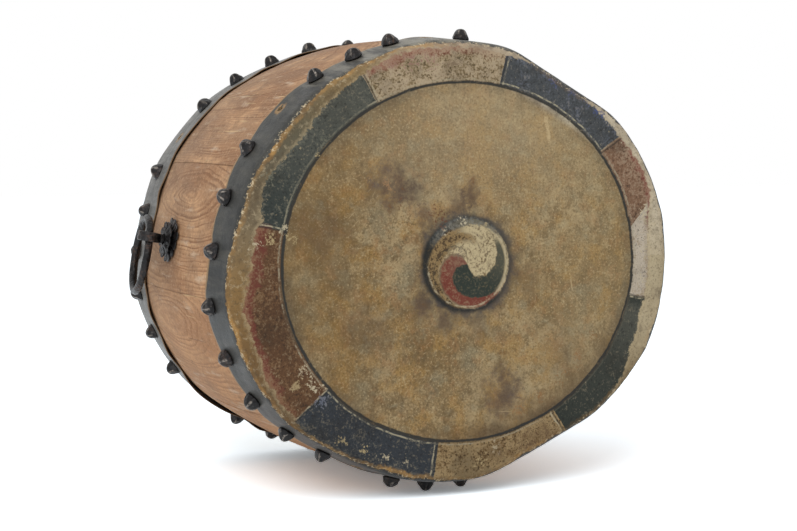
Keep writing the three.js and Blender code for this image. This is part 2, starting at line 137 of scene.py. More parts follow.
# Bare hide between the paint and the fold, around the face.
MARGINS = (
    (0, (188, 174, 146)), (14, (200, 188, 164)), (40, (206, 196, 174)), (55, (184, 174, 152)),
    (90, (176, 162, 150)), (117, (140, 118, 82)), (140, (94, 88, 70)), (160, (94, 88, 74)),
    (172, (124, 108, 82)), (185, (134, 106, 66)), (203, (112, 86, 54)), (222, (92, 72, 50)),
    (245, (84, 74, 54)), (270, (100, 84, 56)), (300, (114, 94, 64)), (325, (148, 132, 102)),
    (345, (182, 168, 138)),
)
# Brown stains on the bare middle: place from the drum's axis, radius and strength.
STAINS = (
    (-70, 72, 21, 0.8), (-50, 66, 11, 0.6), (-36, 42, 11, 0.7), (-40, -40, 12, 0.8), (-18, -54, 13, 0.7),
    (48, -127, 22, 0.8), (10, 62, 12, 0.7), (0, 54, 13, 0.6), (70, -20, 15, 0.25), (-95, -60, 24, 0.25),
    (-140, 30, 24, 0.3), (20, -62, 12, 0.4), (-34, 10, 10, 0.35), (110, -90, 24, 0.25),
)
# Pale drips and scratches: both ends, half width and strength.
SCRATCHES = (
    (89, 140, 95, 108, 3.2, 0.75), (118, -14, 122, -34, 1.3, 0.45), (122, -34, 132, -48, 1.1, 0.4),
    (-118, -2, -104, 6, 0.7, 0.3), (30, -95, 52, -101, 0.6, 0.35), (-60, -104, -56, -116, 1.2, 0.45),
    (62, 95, 66, 78, 0.6, 0.3), (34, -144, 58, -146, 0.6, 0.45), (150, -70, 154, -78, 1.6, 0.5),
    (-96, 52, -86, 70, 0.6, 0.3), (-30, 128, -24, 112, 0.6, 0.3), (96, 12, 104, -8, 0.6, 0.3),
)
WHITE = (192, 180, 152)
CREAM = (176, 158, 118)
BLUE = (66, 76, 116)
GREY = (112, 112, 96)
RUST = (96, 62, 46)
MAUVE = (94, 82, 78)
OCHRE = (150, 108, 68)
BROWN = (84, 60, 40)
PINK = (132, 92, 84)
# Clusters of flaked or lifted paint: place, radius, strength and tint.
FLAKES = (
    (-152, -104, 9, 0.9, WHITE), (-159, -95, 7, 0.8, WHITE), (-145, -112, 8, 0.9, WHITE),
    (-166, -108, 8, 0.6, CREAM), (-98, -172, 6, 0.8, CREAM), (-78, -181, 7, 0.9, WHITE),
    (-120, -163, 7, 0.6, CREAM), (-58, -186, 6, 0.6, WHITE), (-141, -125, 9, 0.5, (120, 126, 142)),
    (-147, 103, 4, 0.9, CREAM), (-139, 115, 8, 0.5, GREY), (-193, 79, 9, 0.6, GREY),
    (-176, 33, 7, 0.8, WHITE), (-191, 25, 8, 0.8, CREAM), (-205, 20, 8, 0.8, WHITE),
    (120, 162, 10, 0.7, BLUE), (136, 153, 10, 0.8, BLUE), (148, 140, 10, 0.8, BLUE),
    (100, 170, 11, 0.6, BLUE), (165, 134, 9, 0.9, WHITE), (150, 154, 8, 0.8, WHITE),
    (180, 112, 8, 0.7, WHITE), (202, 42, 10, 0.9, WHITE), (205, 4, 9, 0.7, WHITE),
    (200, -24, 8, 0.7, WHITE), (2, 36, 7, 0.9, WHITE), (26, 33, 7, 0.8, CREAM),
    (-15, 30, 6, 0.9, WHITE), (46, -8, 5, 0.6, CREAM), (-2, 8, 8, 0.6, (112, 100, 88)),
    (-74, 74, 9, 0.55, (168, 130, 92)), (-62, 58, 8, 0.7, (106, 74, 56)), (-29, 45, 10, 0.8, RUST),
    (-21, 37, 11, 0.8, RUST), (-77, 86, 10, 0.5, MAUVE), (-90, 77, 9, 0.6, MAUVE),
    (57, -131, 12, 0.5, MAUVE), (109, -114, 10, 0.5, OCHRE), (128, -98, 9, 0.5, OCHRE),
    (87, -132, 9, 0.5, OCHRE), (65, -145, 10, 0.5, OCHRE), (147, -77, 8, 0.4, OCHRE),
    (76, -175, 20, 0.8, BROWN), (92, -168, 16, 0.7, BROWN), (54, -185, 10, 0.7, BROWN),
    (40, -183, 15, 0.7, BROWN), (-172, 24, 8, 0.8, CREAM), (22, -192, 10, 0.7, CREAM),
    (38, -180, 8, 0.6, WHITE), (-52, 187, 14, 0.7, PINK), (-32, 189, 12, 0.6, PINK),
    (-67, 185, 10, 0.7, PINK), (-8, 186, 12, 0.5, BROWN),
)

rng = np.random.default_rng(41)


def smooth(value, low, high):
    share = np.clip((value - low) / (high - low), 0, 1)
    return share * share * (3 - 2 * share)


def waves(angle, seed, counts):
    """Sum of sines around the drum, about -1 to 1, that closes on itself."""
    source = np.random.default_rng(seed)
    total = 0
    weight = 0
    for count in counts:
        size = 1 / math.sqrt(count)
        total = total + size * np.sin(np.radians(angle * count) + source.uniform(0, 6.28))
        weight += size * 0.7
    return total / weight


def bulge_at(angle, middle, spread):
    """Smooth swelling around one angle, 1 at its middle."""
    return np.exp(-(((angle - middle + 180) % 360 - 180) / spread) ** 2)


# Shell.

stave_widths = np.array([row[0] for row in STAVES]) * NAIL_PITCH
stave_starts = np.concatenate(([0.0], np.cumsum(stave_widths)[:-1]))
stave_corners = np.array([row[1] for row in STAVES])
stave_flats = np.array([row[2] for row in STAVES])


def sharp_factor(angle):
    """Radius of the staves against a true barrel's, with sharp corners at the seams."""
    turned = np.mod(angle - FIRST_SEAM, 360)
    index = np.searchsorted(stave_starts + stave_widths, turned, side="right")
    index = np.clip(index, 0, len(STAVES) - 1)
    share = (turned - stave_starts[index]) / stave_widths[index]
    next_corner = stave_corners[(index + 1) % len(STAVES)]
    corner = stave_corners[index] + (next_corner - stave_corners[index]) * share
    half = np.radians(stave_widths[index] / 2)
    board = np.cos(half) / np.cos(2 * half * share - half)
    flat = stave_flats[index]
    return (1 + corner / END_RADIUS) * (1 - flat + flat * board)


# The worn corners between the staves are rounded off.
FACTOR_STEP = 0.25
FACTOR_COUNT = 1440
factor_angles = np.arange(FACTOR_COUNT) * FACTOR_STEP
factor_spread = np.exp(-0.5 * (np.arange(-48, 49) * FACTOR_STEP / CORNER_WEAR) ** 2)
factor_spread /= factor_spread.sum()
factor_table = np.convolve(np.tile(sharp_factor(factor_angles), 3), factor_spread, "same")
factor_table = factor_table[FACTOR_COUNT:2 * FACTOR_COUNT]


def stave_factor(angle):
    return np.interp(np.asarray(angle, float), factor_angles, factor_table, period=360)


def barrel_radius(y):
    return BELLY_RADIUS - (BELLY_RADIUS - END_RADIUS) * (np.asarray(y, float) / SHELL_HALF) ** 2


def around_axis(angle, y, reach):
    """Points of the oval drum, in millimetres of the shared frame."""
    turn = np.radians(angle)
    x = AXIS_X + reach * (1 + OVAL) * np.cos(turn)
    z = AXIS_Z + reach * (1 - OVAL) * np.sin(turn)
    return np.stack(np.broadcast_arrays(x, np.asarray(y, float), z), axis=-1)


def shell_point(angle, y, height):
    """Point over the wood."""
    return around_axis(angle, y, barrel_radius(y) * stave_factor(angle) + height)


def shell_frame(angle, y, height):
    """Matrix in metres with X around the drum, Y along it and Z out of the shell."""
    origin = shell_point(angle, y, height)
    along = shell_point(angle, y + 0.5, height) - shell_point(angle, y - 0.5, height)
    across = shell_point(angle + 0.2, y, height) - shell_point(angle - 0.2, y, height)
    out = np.cross(across, along)
    out /= np.linalg.norm(out)
    if np.dot(out, origin - np.array([AXIS_X, y, AXIS_Z])) < 0:
        out = -out
    axial = along / np.linalg.norm(along)
    matrix = Matrix((np.cross(axial, out), axial, out)).transposed().to_4x4()
    matrix.translation = origin * MM
    return matrix


def front_nail_angle(index):
    even = (index + 0.5) * NAIL_PITCH
    return even + 1.5 + 5.7 * math.sin(math.radians(2 * even + 15.3))


def rear_nail_angle(index):
    return index * NAIL_PITCH


front_lost = [front_nail_angle(index) for index in FRONT_MISSING]
rear_lost = [rear_nail_angle(index) for index in REAR_MISSING]


# Meshes.

def placed(matrix, x, y, z):
    return matrix @ (Vector((x, y, z)) * MM)


def outward_mesh(name, points, faces):
    mesh = bpy.data.meshes.new(name)
    mesh.from_pydata([tuple(point) for point in points], [], faces)
    mesh.validate()
    work = bmesh.new()
    work.from_mesh(mesh)
    bmesh.ops.recalc_face_normals(work, faces=work.faces)
    if work.calc_volume(signed=True) < 0:
        bmesh.ops.reverse_faces(work, faces=work.faces)
    work.to_mesh(mesh)
    work.free()
    return mesh


def make_piece(name, points, faces, body, material, nodes, sharp):
    mesh = outward_mesh(name, points, faces)
    for polygon in mesh.polygons:
        polygon.use_smooth = True
    mesh.set_sharp_from_angle(angle=math.radians(sharp))
    obj = bpy.data.objects.new(name, mesh)
    bpy.context.scene.collection.objects.link(obj)
    mesh.materials.append(material)
    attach(obj, body)
    if nodes:
        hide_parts(*nodes)
    return obj


def store(obj, name, values):
    """Values at the points of a piece, for its material: numbers or places."""
    kind, key = ("FLOAT_VECTOR", "vector") if values.ndim == 2 else ("FLOAT", "value")
    layer = obj.data.attributes.new(name, kind, "POINT")
    layer.data.foreach_set(key, values.ravel())


def grid_faces(rows, columns, first=0, wrap_rows=False):
    """Quads between rows of points that close on themselves sideways."""
    faces = []
    for row in range(rows if wrap_rows else rows - 1):
        here = first + row * columns
        there = first + ((row + 1) % rows) * columns
        for column in range(columns):
            after = (column + 1) % columns
            faces.append((here + column, here + after, there + after, there + column))
    return faces


def capped_faces(rows, columns, first=0):
    """The same quads, with the first and the last row closed."""
    faces = grid_faces(rows, columns, first)
    faces.append(tuple(range(first + columns - 1, first - 1, -1)))
    last = first + (rows - 1) * columns
    faces.append(tuple(range(last, last + columns)))
    return faces


def cut_holes(obj, cutters):
    """Cuts tapered square nail holes, given as frames, width and depth."""
    points = []
    faces = []
    for matrix, wide, deep in cutters:
        faces += capped_faces(3, 8, len(points))
        for height, half in ((6, wide * 0.62), (-1.5, wide * 0.5), (-deep, wide * 0.22)):
            for turn in range(10, 360, 45):
                reach = half * (1.0 if turn % 20 else 1.16)
                angle = math.radians(turn)
                points.append(placed(matrix, reach * math.cos(angle), reach * math.sin(angle), height))
    cutter = bpy.data.objects.new("nail_holes", outward_mesh("nail_holes", points, faces))
    bpy.context.scene.collection.objects.link(cutter)
    step = obj.modifiers.new("holes", "BOOLEAN")
    step.operation = "DIFFERENCE"
    step.solver = "EXACT"
    step.object = cutter
    bpy.context.view_layer.update()
    shaped = bpy.data.meshes.new_from_object(obj.evaluated_get(bpy.context.evaluated_depsgraph_get()))
    obj.modifiers.remove(step)
    obj.data = shaped
    bpy.data.objects.remove(cutter)


# Materials.

def srgb(red, green, blue):
    def linear(value):
        value /= 255
        return value / 12.92 if value <= 0.04045 else ((value + 0.055) / 1.055) ** 2.4
    return (linear(red), linear(green), linear(blue), 1.0)


class Value:
    """A quantity that a material works out at each point, used in sums like a plain number."""

    def __init__(self, shade, socket):
        self.shade = shade
        self.socket = socket

    def __add__(self, other):
        return self.shade.math("ADD", self, other)

    def __sub__(self, other):
        return self.shade.math("SUBTRACT", self, other)

    def __rsub__(self, other):
        return self.shade.math("SUBTRACT", other, self)

    def __mul__(self, other):
        return self.shade.math("MULTIPLY", self, other)

    def __abs__(self):
        return self.shade.math("ABSOLUTE", self)

    def most(self, other):
        return self.shade.math("MAXIMUM", self, other)

    def step(self, low, high, start=0.0, end=1.0):
        """Smooth change from start at low to end at high."""
        inputs = {"Value": self, "From Min": low, "From Max": high, "To Min": start, "To Max": end}
        return self.shade.node("MapRange", 0, inputs, interpolation_type="SMOOTHSTEP")

    def fade(self, low, high):
        """1 below low, 0 above high."""
        return self.step(low, high, 1.0, 0.0)


class Shade:
    """The nodes of one material, or of the surroundings, with short calls that make them."""

    def __init__(self, owner):
        owner.use_nodes = True
        self.owner = owner
        self.nodes = owner.node_tree.nodes
        self.links = owner.node_tree.links

    def put(self, socket, value):
        if isinstance(value, Value):
            self.links.new(value.socket, socket)
        else:
            socket.default_value = value

    def node(self, kind, output, inputs, **settings):
        node = self.nodes.new("ShaderNode" + kind)
        for name, setting in settings.items():
            setattr(node, name, setting)
        for socket, value in inputs.items():
            self.put(node.inputs[socket], value)
        return Value(self, node.outputs[output])

    def math(self, kind, *values):
        return self.node("Math", 0, dict(enumerate(values)), operation=kind)

    def length(self, first, second):
        return self.math("SQRT", first * first + second * second)

    def mix(self, share, first, second):
        """Blends two colours, each worked out or a tint of 0 to 255."""
        first = srgb(*first) if isinstance(first, tuple) else first
        second = srgb(*second) if isinstance(second, tuple) else second
        return self.node("Mix", 2, {0: share, 6: first, 7: second}, data_type="RGBA")

    def layers(self, colour, *rows):
        """Tints laid over a colour: share and tint, or value, its start and full end, strength and tint."""
        for share, *ends, tint in rows:
            if ends:
                start, full, strength = ends
                share = share.step(start, full, 0.0, strength)
            colour = self.mix(share, colour, tint)
        return colour

    def place(self):
        return self.node("TexCoord", "Object", {})

    def split(self, vector):
        node = self.nodes.new("ShaderNodeSeparateXYZ")
        self.put(node.inputs[0], vector)
        return [Value(self, socket) for socket in node.outputs]

    def join(self, x, y, z):
        return self.node("CombineXYZ", 0, {0: x, 1: y, 2: z})

    def distance(self, vector, spot):
        return self.node("VectorMath", "Value", {0: vector, 1: spot}, operation="DISTANCE")

    def held(self, name, part="Fac"):
        return self.node("Attribute", part, {}, attribute_name=name)

    def noise(self, vector, scale, detail=4.0, rough=0.55):
        inputs = {"Vector": vector, "Scale": scale, "Detail": detail, "Roughness": rough}
        return self.node("TexNoise", "Fac", inputs)

    def cells(self, vector, scale):
        inputs = {"Vector": vector, "Scale": scale, "Smoothness": 0.25}
        return self.node("TexVoronoi", "Distance", inputs, feature="SMOOTH_F1")

    def ramp(self, value, stops, kind="LINEAR"):
        """Tint or level looked up along stops, which lie from 0 to 1."""
        node = self.nodes.new("ShaderNodeValToRGB")
        band = node.color_ramp
        band.interpolation = kind
        while len(band.elements) < len(stops):
            band.elements.new(1.0)
        for element, (place, level) in zip(band.elements, stops):
            element.position = place
        for element, (place, level) in zip(band.elements, stops):
            element.color = srgb(*level) if isinstance(level, tuple) else (level, level, level, 1.0)
        self.put(node.inputs[0], value)
        return Value(self, node.outputs["Color"])

    def bump(self, height, distance, strength):
        inputs = {"Strength": strength, "Distance": distance, "Height": height}
        return self.node("Bump", "Normal", inputs)

    def finish(self, colour, roughness, normal, shine, metallic=0.0):
        surface = self.nodes["Principled BSDF"].inputs
        self.put(surface["Base Color"], colour)
        self.put(surface["Roughness"], roughness)
        self.put(surface["Metallic"], metallic)
        self.put(surface["Specular IOR Level"], shine)
        self.put(surface["Normal"], normal)
        return self.owner


def wood_material():
    shade = Shade(bpy.data.materials.new("weathered_pine"))
    along, across, seed = shade.split(shade.held("grain", "Vector"))
    place = shade.place()
    y, z = shade.split(place)[1:]

    def lengthwise(long, wide, shift, detail=3.0, rough=0.55):
        """Noise drawn out along the boards."""
        return shade.noise(shade.join(along * long, across * wide, seed + shift), 1.0, detail, rough)

    fibre = lengthwise(0.03, 1.6, 0.0, 5.0, 0.65)
    patch = lengthwise(0.009, 0.02, 0.0)
    grime = lengthwise(0.02, 0.03, 9.0, 4.0, 0.65)
    pale = lengthwise(0.02, 0.09, 3.0)
    drips = lengthwise(0.012, 0.3, 13.0, 2.0)
    checks = lengthwise(0.02, 0.5, 0.0, 1.5).step(0.73, 0.745)
    dirt = shade.noise(place, 26.0, 5.0, 0.65)
    specks = shade.noise(place, 330.0, 3.0, 0.6)

    # Year rings around each board's heart, with dark late wood.
    drift = lengthwise(0.006, 0.02, 0.0, 2.0)
    fine = lengthwise(0.03, 0.12, 0.0, 2.0)
    rings = shade.length(along * 0.3, across) + (drift * 22.0 + fine * 3.0)
    spacing = shade.noise(shade.join(rings * 0.06, 0.0, seed), 1.0, 2.0)
    rings = rings + spacing * 12.0
    year = shade.math("FRACT", rings * shade.held("pitch"))
    strong = shade.noise(shade.join(rings * 0.13, along * 0.006, seed + 5.0), 1.0, 2.0)
    late = year.step(0.2, 0.85) * year.fade(0.88, 1.0) * strong.step(0.32, 0.66, 0.12, 1.0)

    grey = (y + (patch - 0.5) * 0.16).step(-0.03, 0.09, 0.0, 0.55) * z.step(0.12, 0.24, 0.3, 1.0)
    soiled = shade.held("seam").step(0.35, 1.0) * dirt.step(0.4, 0.62, 0.05, 0.4)
    colour = shade.layers(
        shade.mix(patch.step(0.36, 0.64), (204, 162, 122), (158, 117, 84)),
        (late * 0.9, shade.mix(fibre, (116, 78, 50), (142, 100, 68))),
        (fibre, 0.5, 0.75, 0.45, (204, 172, 140)),
        (fibre, 0.46, 0.28, 0.4, (124, 92, 66)),
        (grime, 0.42, 0.62, 0.55, (136, 106, 82)),
        (z, 0.25, 0.12, 0.35, (198, 142, 92)),
        (grey, (146, 120, 98)),
        (dirt, 0.52, 0.72, 0.55, (112, 84, 60)),
        (pale, 0.58, 0.72, 0.55, (208, 186, 162)),
        (drips, 0.68, 0.73, 0.5, (214, 186, 142)),
        (specks, 0.54, 0.7, 0.5, (110, 80, 56)),
        (specks, 0.44, 0.3, 0.4, (212, 180, 146)),
        (soiled, (100, 76, 54)),
        (checks * 0.45, (84, 62, 46)),
    )
    normal = shade.bump(late * 0.35 + (fibre * 0.6 + checks * -1.0), 0.0005, 0.8)
    return shade.finish(colour, fibre.step(0.2, 0.8, 0.6, 0.82), normal, 0.25)


def iron_material():
    shade = Shade(bpy.data.materials.new("forged_iron"))
    place = shade.place()
    broad = shade.noise(place, 60.0, 4.0, 0.6)
    pits = shade.noise(place, 480.0, 4.0, 0.7)
    scale = shade.noise(place, 170.0, 3.0)
    hammer = shade.cells(place, 260.0)
    rust = broad.step(0.5, 0.7) * pits.step(0.45, 0.6)
    # Painted highlight on the nails: pale, more metallic colour along the facet ridges and at the tip, from
    # their edge values.
    rubbed_and_glint = shade.held("edge").step(0.3, 0.9) * pits.step(0.36, 0.56)
    colour = shade.layers(
        shade.mix(broad.step(0.35, 0.65), (19, 18, 19), (33, 31, 31)),
        (scale, 0.55, 0.72, 0.5, (62, 59, 57)),
        (rust * 0.75, (76, 53, 40)),
        (rubbed_and_glint * 0.8, (132, 124, 116)),
    )
    normal = shade.bump(pits * 0.35 + (scale * 0.6 + hammer * 0.9), 0.0011, 0.9)
    metal = rust.step(0.1, 0.7, 0.45, 0.1) + rubbed_and_glint * 0.4
    return shade.finish(colour, pits.step(0.3, 0.7, 0.27, 0.52), normal, 0.32, metal)


def hide_material(name, painted):
    shade = Shade(bpy.data.materials.new(name))
    place = shade.place()
    x, y, z = shade.split(place)
    past_fold = shade.held("past_fold")
    broad = shade.noise(place, 8.0, 4.0, 0.6)
    cloud = shade.noise(place, 21.0, 6.0, 0.65)
    blotch = shade.noise(place, 58.0, 6.0, 0.72)
    ragged = shade.noise(place, 75.0, 6.0, 0.7)
    grit = shade.noise(place, 190.0, 4.0, 0.7)
    fleck = shade.noise(place, 480.0, 4.0, 0.68)
    leather = shade.noise(place, 520.0, 3.0, 0.6)
    gold = shade.noise(shade.join(x, y + 3.0, z), 27.0, 5.0, 0.62)
    tan = shade.noise(shade.join(x, y + 7.0, z), 64.0, 5.0, 0.65)
    streak = shade.noise(shade.join(x * 330.0, y * 90.0, z * 75.0), 1.0, 4.0, 0.65)
    hairs = shade.noise(shade.join((x + z) * 40.0, y, (x - z) * 420.0), 1.0, 1.5)
    stretch = shade.noise(shade.join(x * 90.0, y * 16.0, z * 90.0), 1.0, 5.0, 0.65)
    fibres = shade.noise(shade.join(x * 420.0, y * 40.0, z * 420.0), 1.0, 3.0, 0.6)
    dust = grit * 0.5 + fleck * 0.5
    raw_x = (x - AXIS_X * MM) * 1000.0
    raw_z = (z - AXIS_Z * MM) * 1000.0
    round_x = raw_x * (1 / (1 + OVAL)) + (ragged - 0.5) * 4.0
    round_z = raw_z * (1 / (1 - OVAL)) + (cloud - 0.5) * 5.0
    turn = shade.math("ARCTAN2", round_z, round_x) * (0.5 / math.pi)
    turn = shade.math("FRACT", turn + 1.0)

    # Bare hide of the middle: clouds of gold, grey and brown, with fine grain.
    # Paler towards a spot high on the face: a painted pool of light.
    from_painted_light = shade.length((raw_x - 15.0) * 0.6, raw_z - 125.0)
    colour = shade.layers(
        shade.mix(broad.step(0.36, 0.64), (122, 98, 62), (164, 143, 107)),
        (cloud, 0.44, 0.66, 0.5, (112, 96, 70)),
        (blotch, 0.48, 0.62, 0.75, (102, 84, 58)),
        (blotch, 0.46, 0.34, 0.7, (178, 156, 116)),
        (gold, 0.49, 0.62, 0.6, (160, 125, 70)),
        (gold, 0.47, 0.34, 0.55, (126, 119, 97)),
        (tan, 0.52, 0.64, 0.4, (148, 108, 68)),
        (tan, 0.46, 0.34, 0.35, (150, 144, 118)),
        (streak, 0.5, 0.74, 0.25, (172, 152, 116)),
        (streak, 0.5, 0.28, 0.25, (92, 76, 50)),
        (grit, 0.52, 0.7, 0.55, (90, 74, 50)),
        (fleck, 0.52, 0.68, 0.6, (86, 71, 48)),
        (fleck, 0.47, 0.3, 0.5, (186, 166, 126)),
        (from_painted_light, 110.0, 20.0, 0.4, (172, 154, 122)),
        (raw_x, -30.0, -180.0, 0.4, (106, 82, 48)),
        (raw_x, -40.0, 160.0, 0.22, (174, 154, 114)),
        (fleck, 0.52, 0.66, 0.25, (100, 84, 58)),
        (fleck, 0.46, 0.32, 0.25, (194, 176, 140)),
        (hairs, 0.7, 0.74, 0.35, (188, 170, 134)),
    )
    margin = shade.layers(
        shade.ramp(turn, [(angle / 360, tint) for angle, tint in MARGINS]),
        (cloud, 0.42, 0.64, 0.4, (104, 82, 52)),
        (blotch, 0.5, 0.66, 0.5, (88, 76, 60)),
        (grit, 0.52, 0.68, 0.45, (188, 172, 140)),
        (fleck, 0.5, 0.66, 0.5, (76, 64, 48)),
    )
    colour = shade.mix(past_fold.step(-34.0, -24.0 if painted else -6.0), colour, margin)
    if painted:
        colour = paint_face(shade, colour, raw_x, raw_z, round_x, round_z, turn, cloud, grit, ragged, fleck)
    else:
        reach = shade.length(raw_x, raw_z) + (cloud - 0.5) * 130.0
        edge = past_fold.step(-60.0, -10.0, 0.4, 0.1)
        colour = shade.layers(colour, (edge, (160, 144, 118)), (reach, 120.0, 20.0, 0.5, (108, 92, 70)))

    # Slate-grey skirt past the fold, with a ragged border of bare ochre hide and a raw edge.
    border = past_fold + (ragged - 0.5) * -9.0 + (cloud - 0.5) * -14.0 + (grit - 0.5) * -5.0
    spill = shade.ramp(turn, (
        (0.0, 0.0), (0.26, 0.0), (0.3, 0.7), (0.34, 0.5), (0.38, 0.0), (0.46, 0.0), (0.5, 1.0),
        (0.6, 0.8), (0.7, 0.0)))
    border = border - spill * 6.0
    ochre = shade.mix(blotch.step(0.42, 0.6), (168, 130, 78), (118, 92, 60))
    golden = shade.ramp(turn, ((0.0, 0.15), (0.22, 0.15), (0.3, 1.0), (0.72, 1.0), (0.85, 0.3), (1.0, 0.15)))
    golden = golden * cloud.step(0.4, 0.62, 0.9, 0.3)
    if painted:
        # Paler streaks along the top of the front skirt.
        pale_top_streaks = shade.ramp(turn, ((0.2, 0.0), (0.24, 0.9), (0.3, 0.9), (0.34, 0.5), (0.39, 0.0)))
        grey = shade.layers(
            shade.mix(broad.step(0.38, 0.62), (48, 48, 48), (65, 65, 62)),
            (stretch, 0.48, 0.66, 0.6, (84, 82, 76)),
            (blotch, 0.48, 0.64, 0.6, (42, 44, 45)),
            (pale_top_streaks * stretch.step(0.4, 0.6, 0.15, 0.85), (142, 137, 124)),
        )
    else:
        hoop = shade.noise(shade.join(past_fold * 0.3, turn * 26.0, 0.0), 1.0, 4.0, 0.65)
        grey = shade.layers(
            shade.mix(broad.step(0.38, 0.62), (92, 92, 90), (116, 115, 111)),
            (stretch, 0.45, 0.7, 0.6, (144, 142, 136)),
            (fibres, 0.5, 0.7, 0.55, (66, 65, 63)),
            (blotch, 0.5, 0.68, 0.45, (72, 70, 66)),
            (hoop, 0.52, 0.68, 0.6, (158, 154, 146)),
            (hoop, 0.46, 0.3, 0.55, (66, 62, 56)),
        )
    grey = shade.layers(
        grey,
        (grit, 0.6, 0.74, 0.3, (112, 102, 88)),
        (fleck, 0.54, 0.7, 0.4, (40, 41, 42)),
        (shade.held("rust"), 0.2, 0.9, 0.5, (46, 43, 41)),
        # Darker towards the bottom of both skirts: painted shade.
        (raw_z, 0.0, -160.0, 0.36 if painted else 0.3, (36, 34, 32)),
    )
    skirt = border.step(5.0, 6.2)
    flakes = border.step(1.5, 4.0) * border.fade(6.0, 9.0) * dust.step(0.53, 0.58)
    raw_edge = past_fold + (ragged * 2.0 + (cloud - 0.5) * 8.0)
    lost = shade.held("lost") + (grit - 0.5) * 0.9
    colour = shade.layers(
        colour,
        (border.step(0.0, 3.0) * golden, ochre),
        (skirt, grey),
        (flakes * 0.8, (206, 190, 158)),
        (raw_edge.step(55.4, 57.0), (146, 118, 84) if painted else (108, 86, 62)),
        (lost, 0.35, 0.75, 0.85, (154, 122, 78)),
    )

    relief = leather * 0.3 + (grit * 0.4 + ragged * 0.7) + (stretch + fibres * 0.4) * skirt
    normal = shade.bump(relief, 0.0008, 0.8)
    rough = cloud.step(0.3, 0.7, 0.58, 0.74) + skirt * -0.2
    return shade.finish(colour, rough, normal, 0.16)


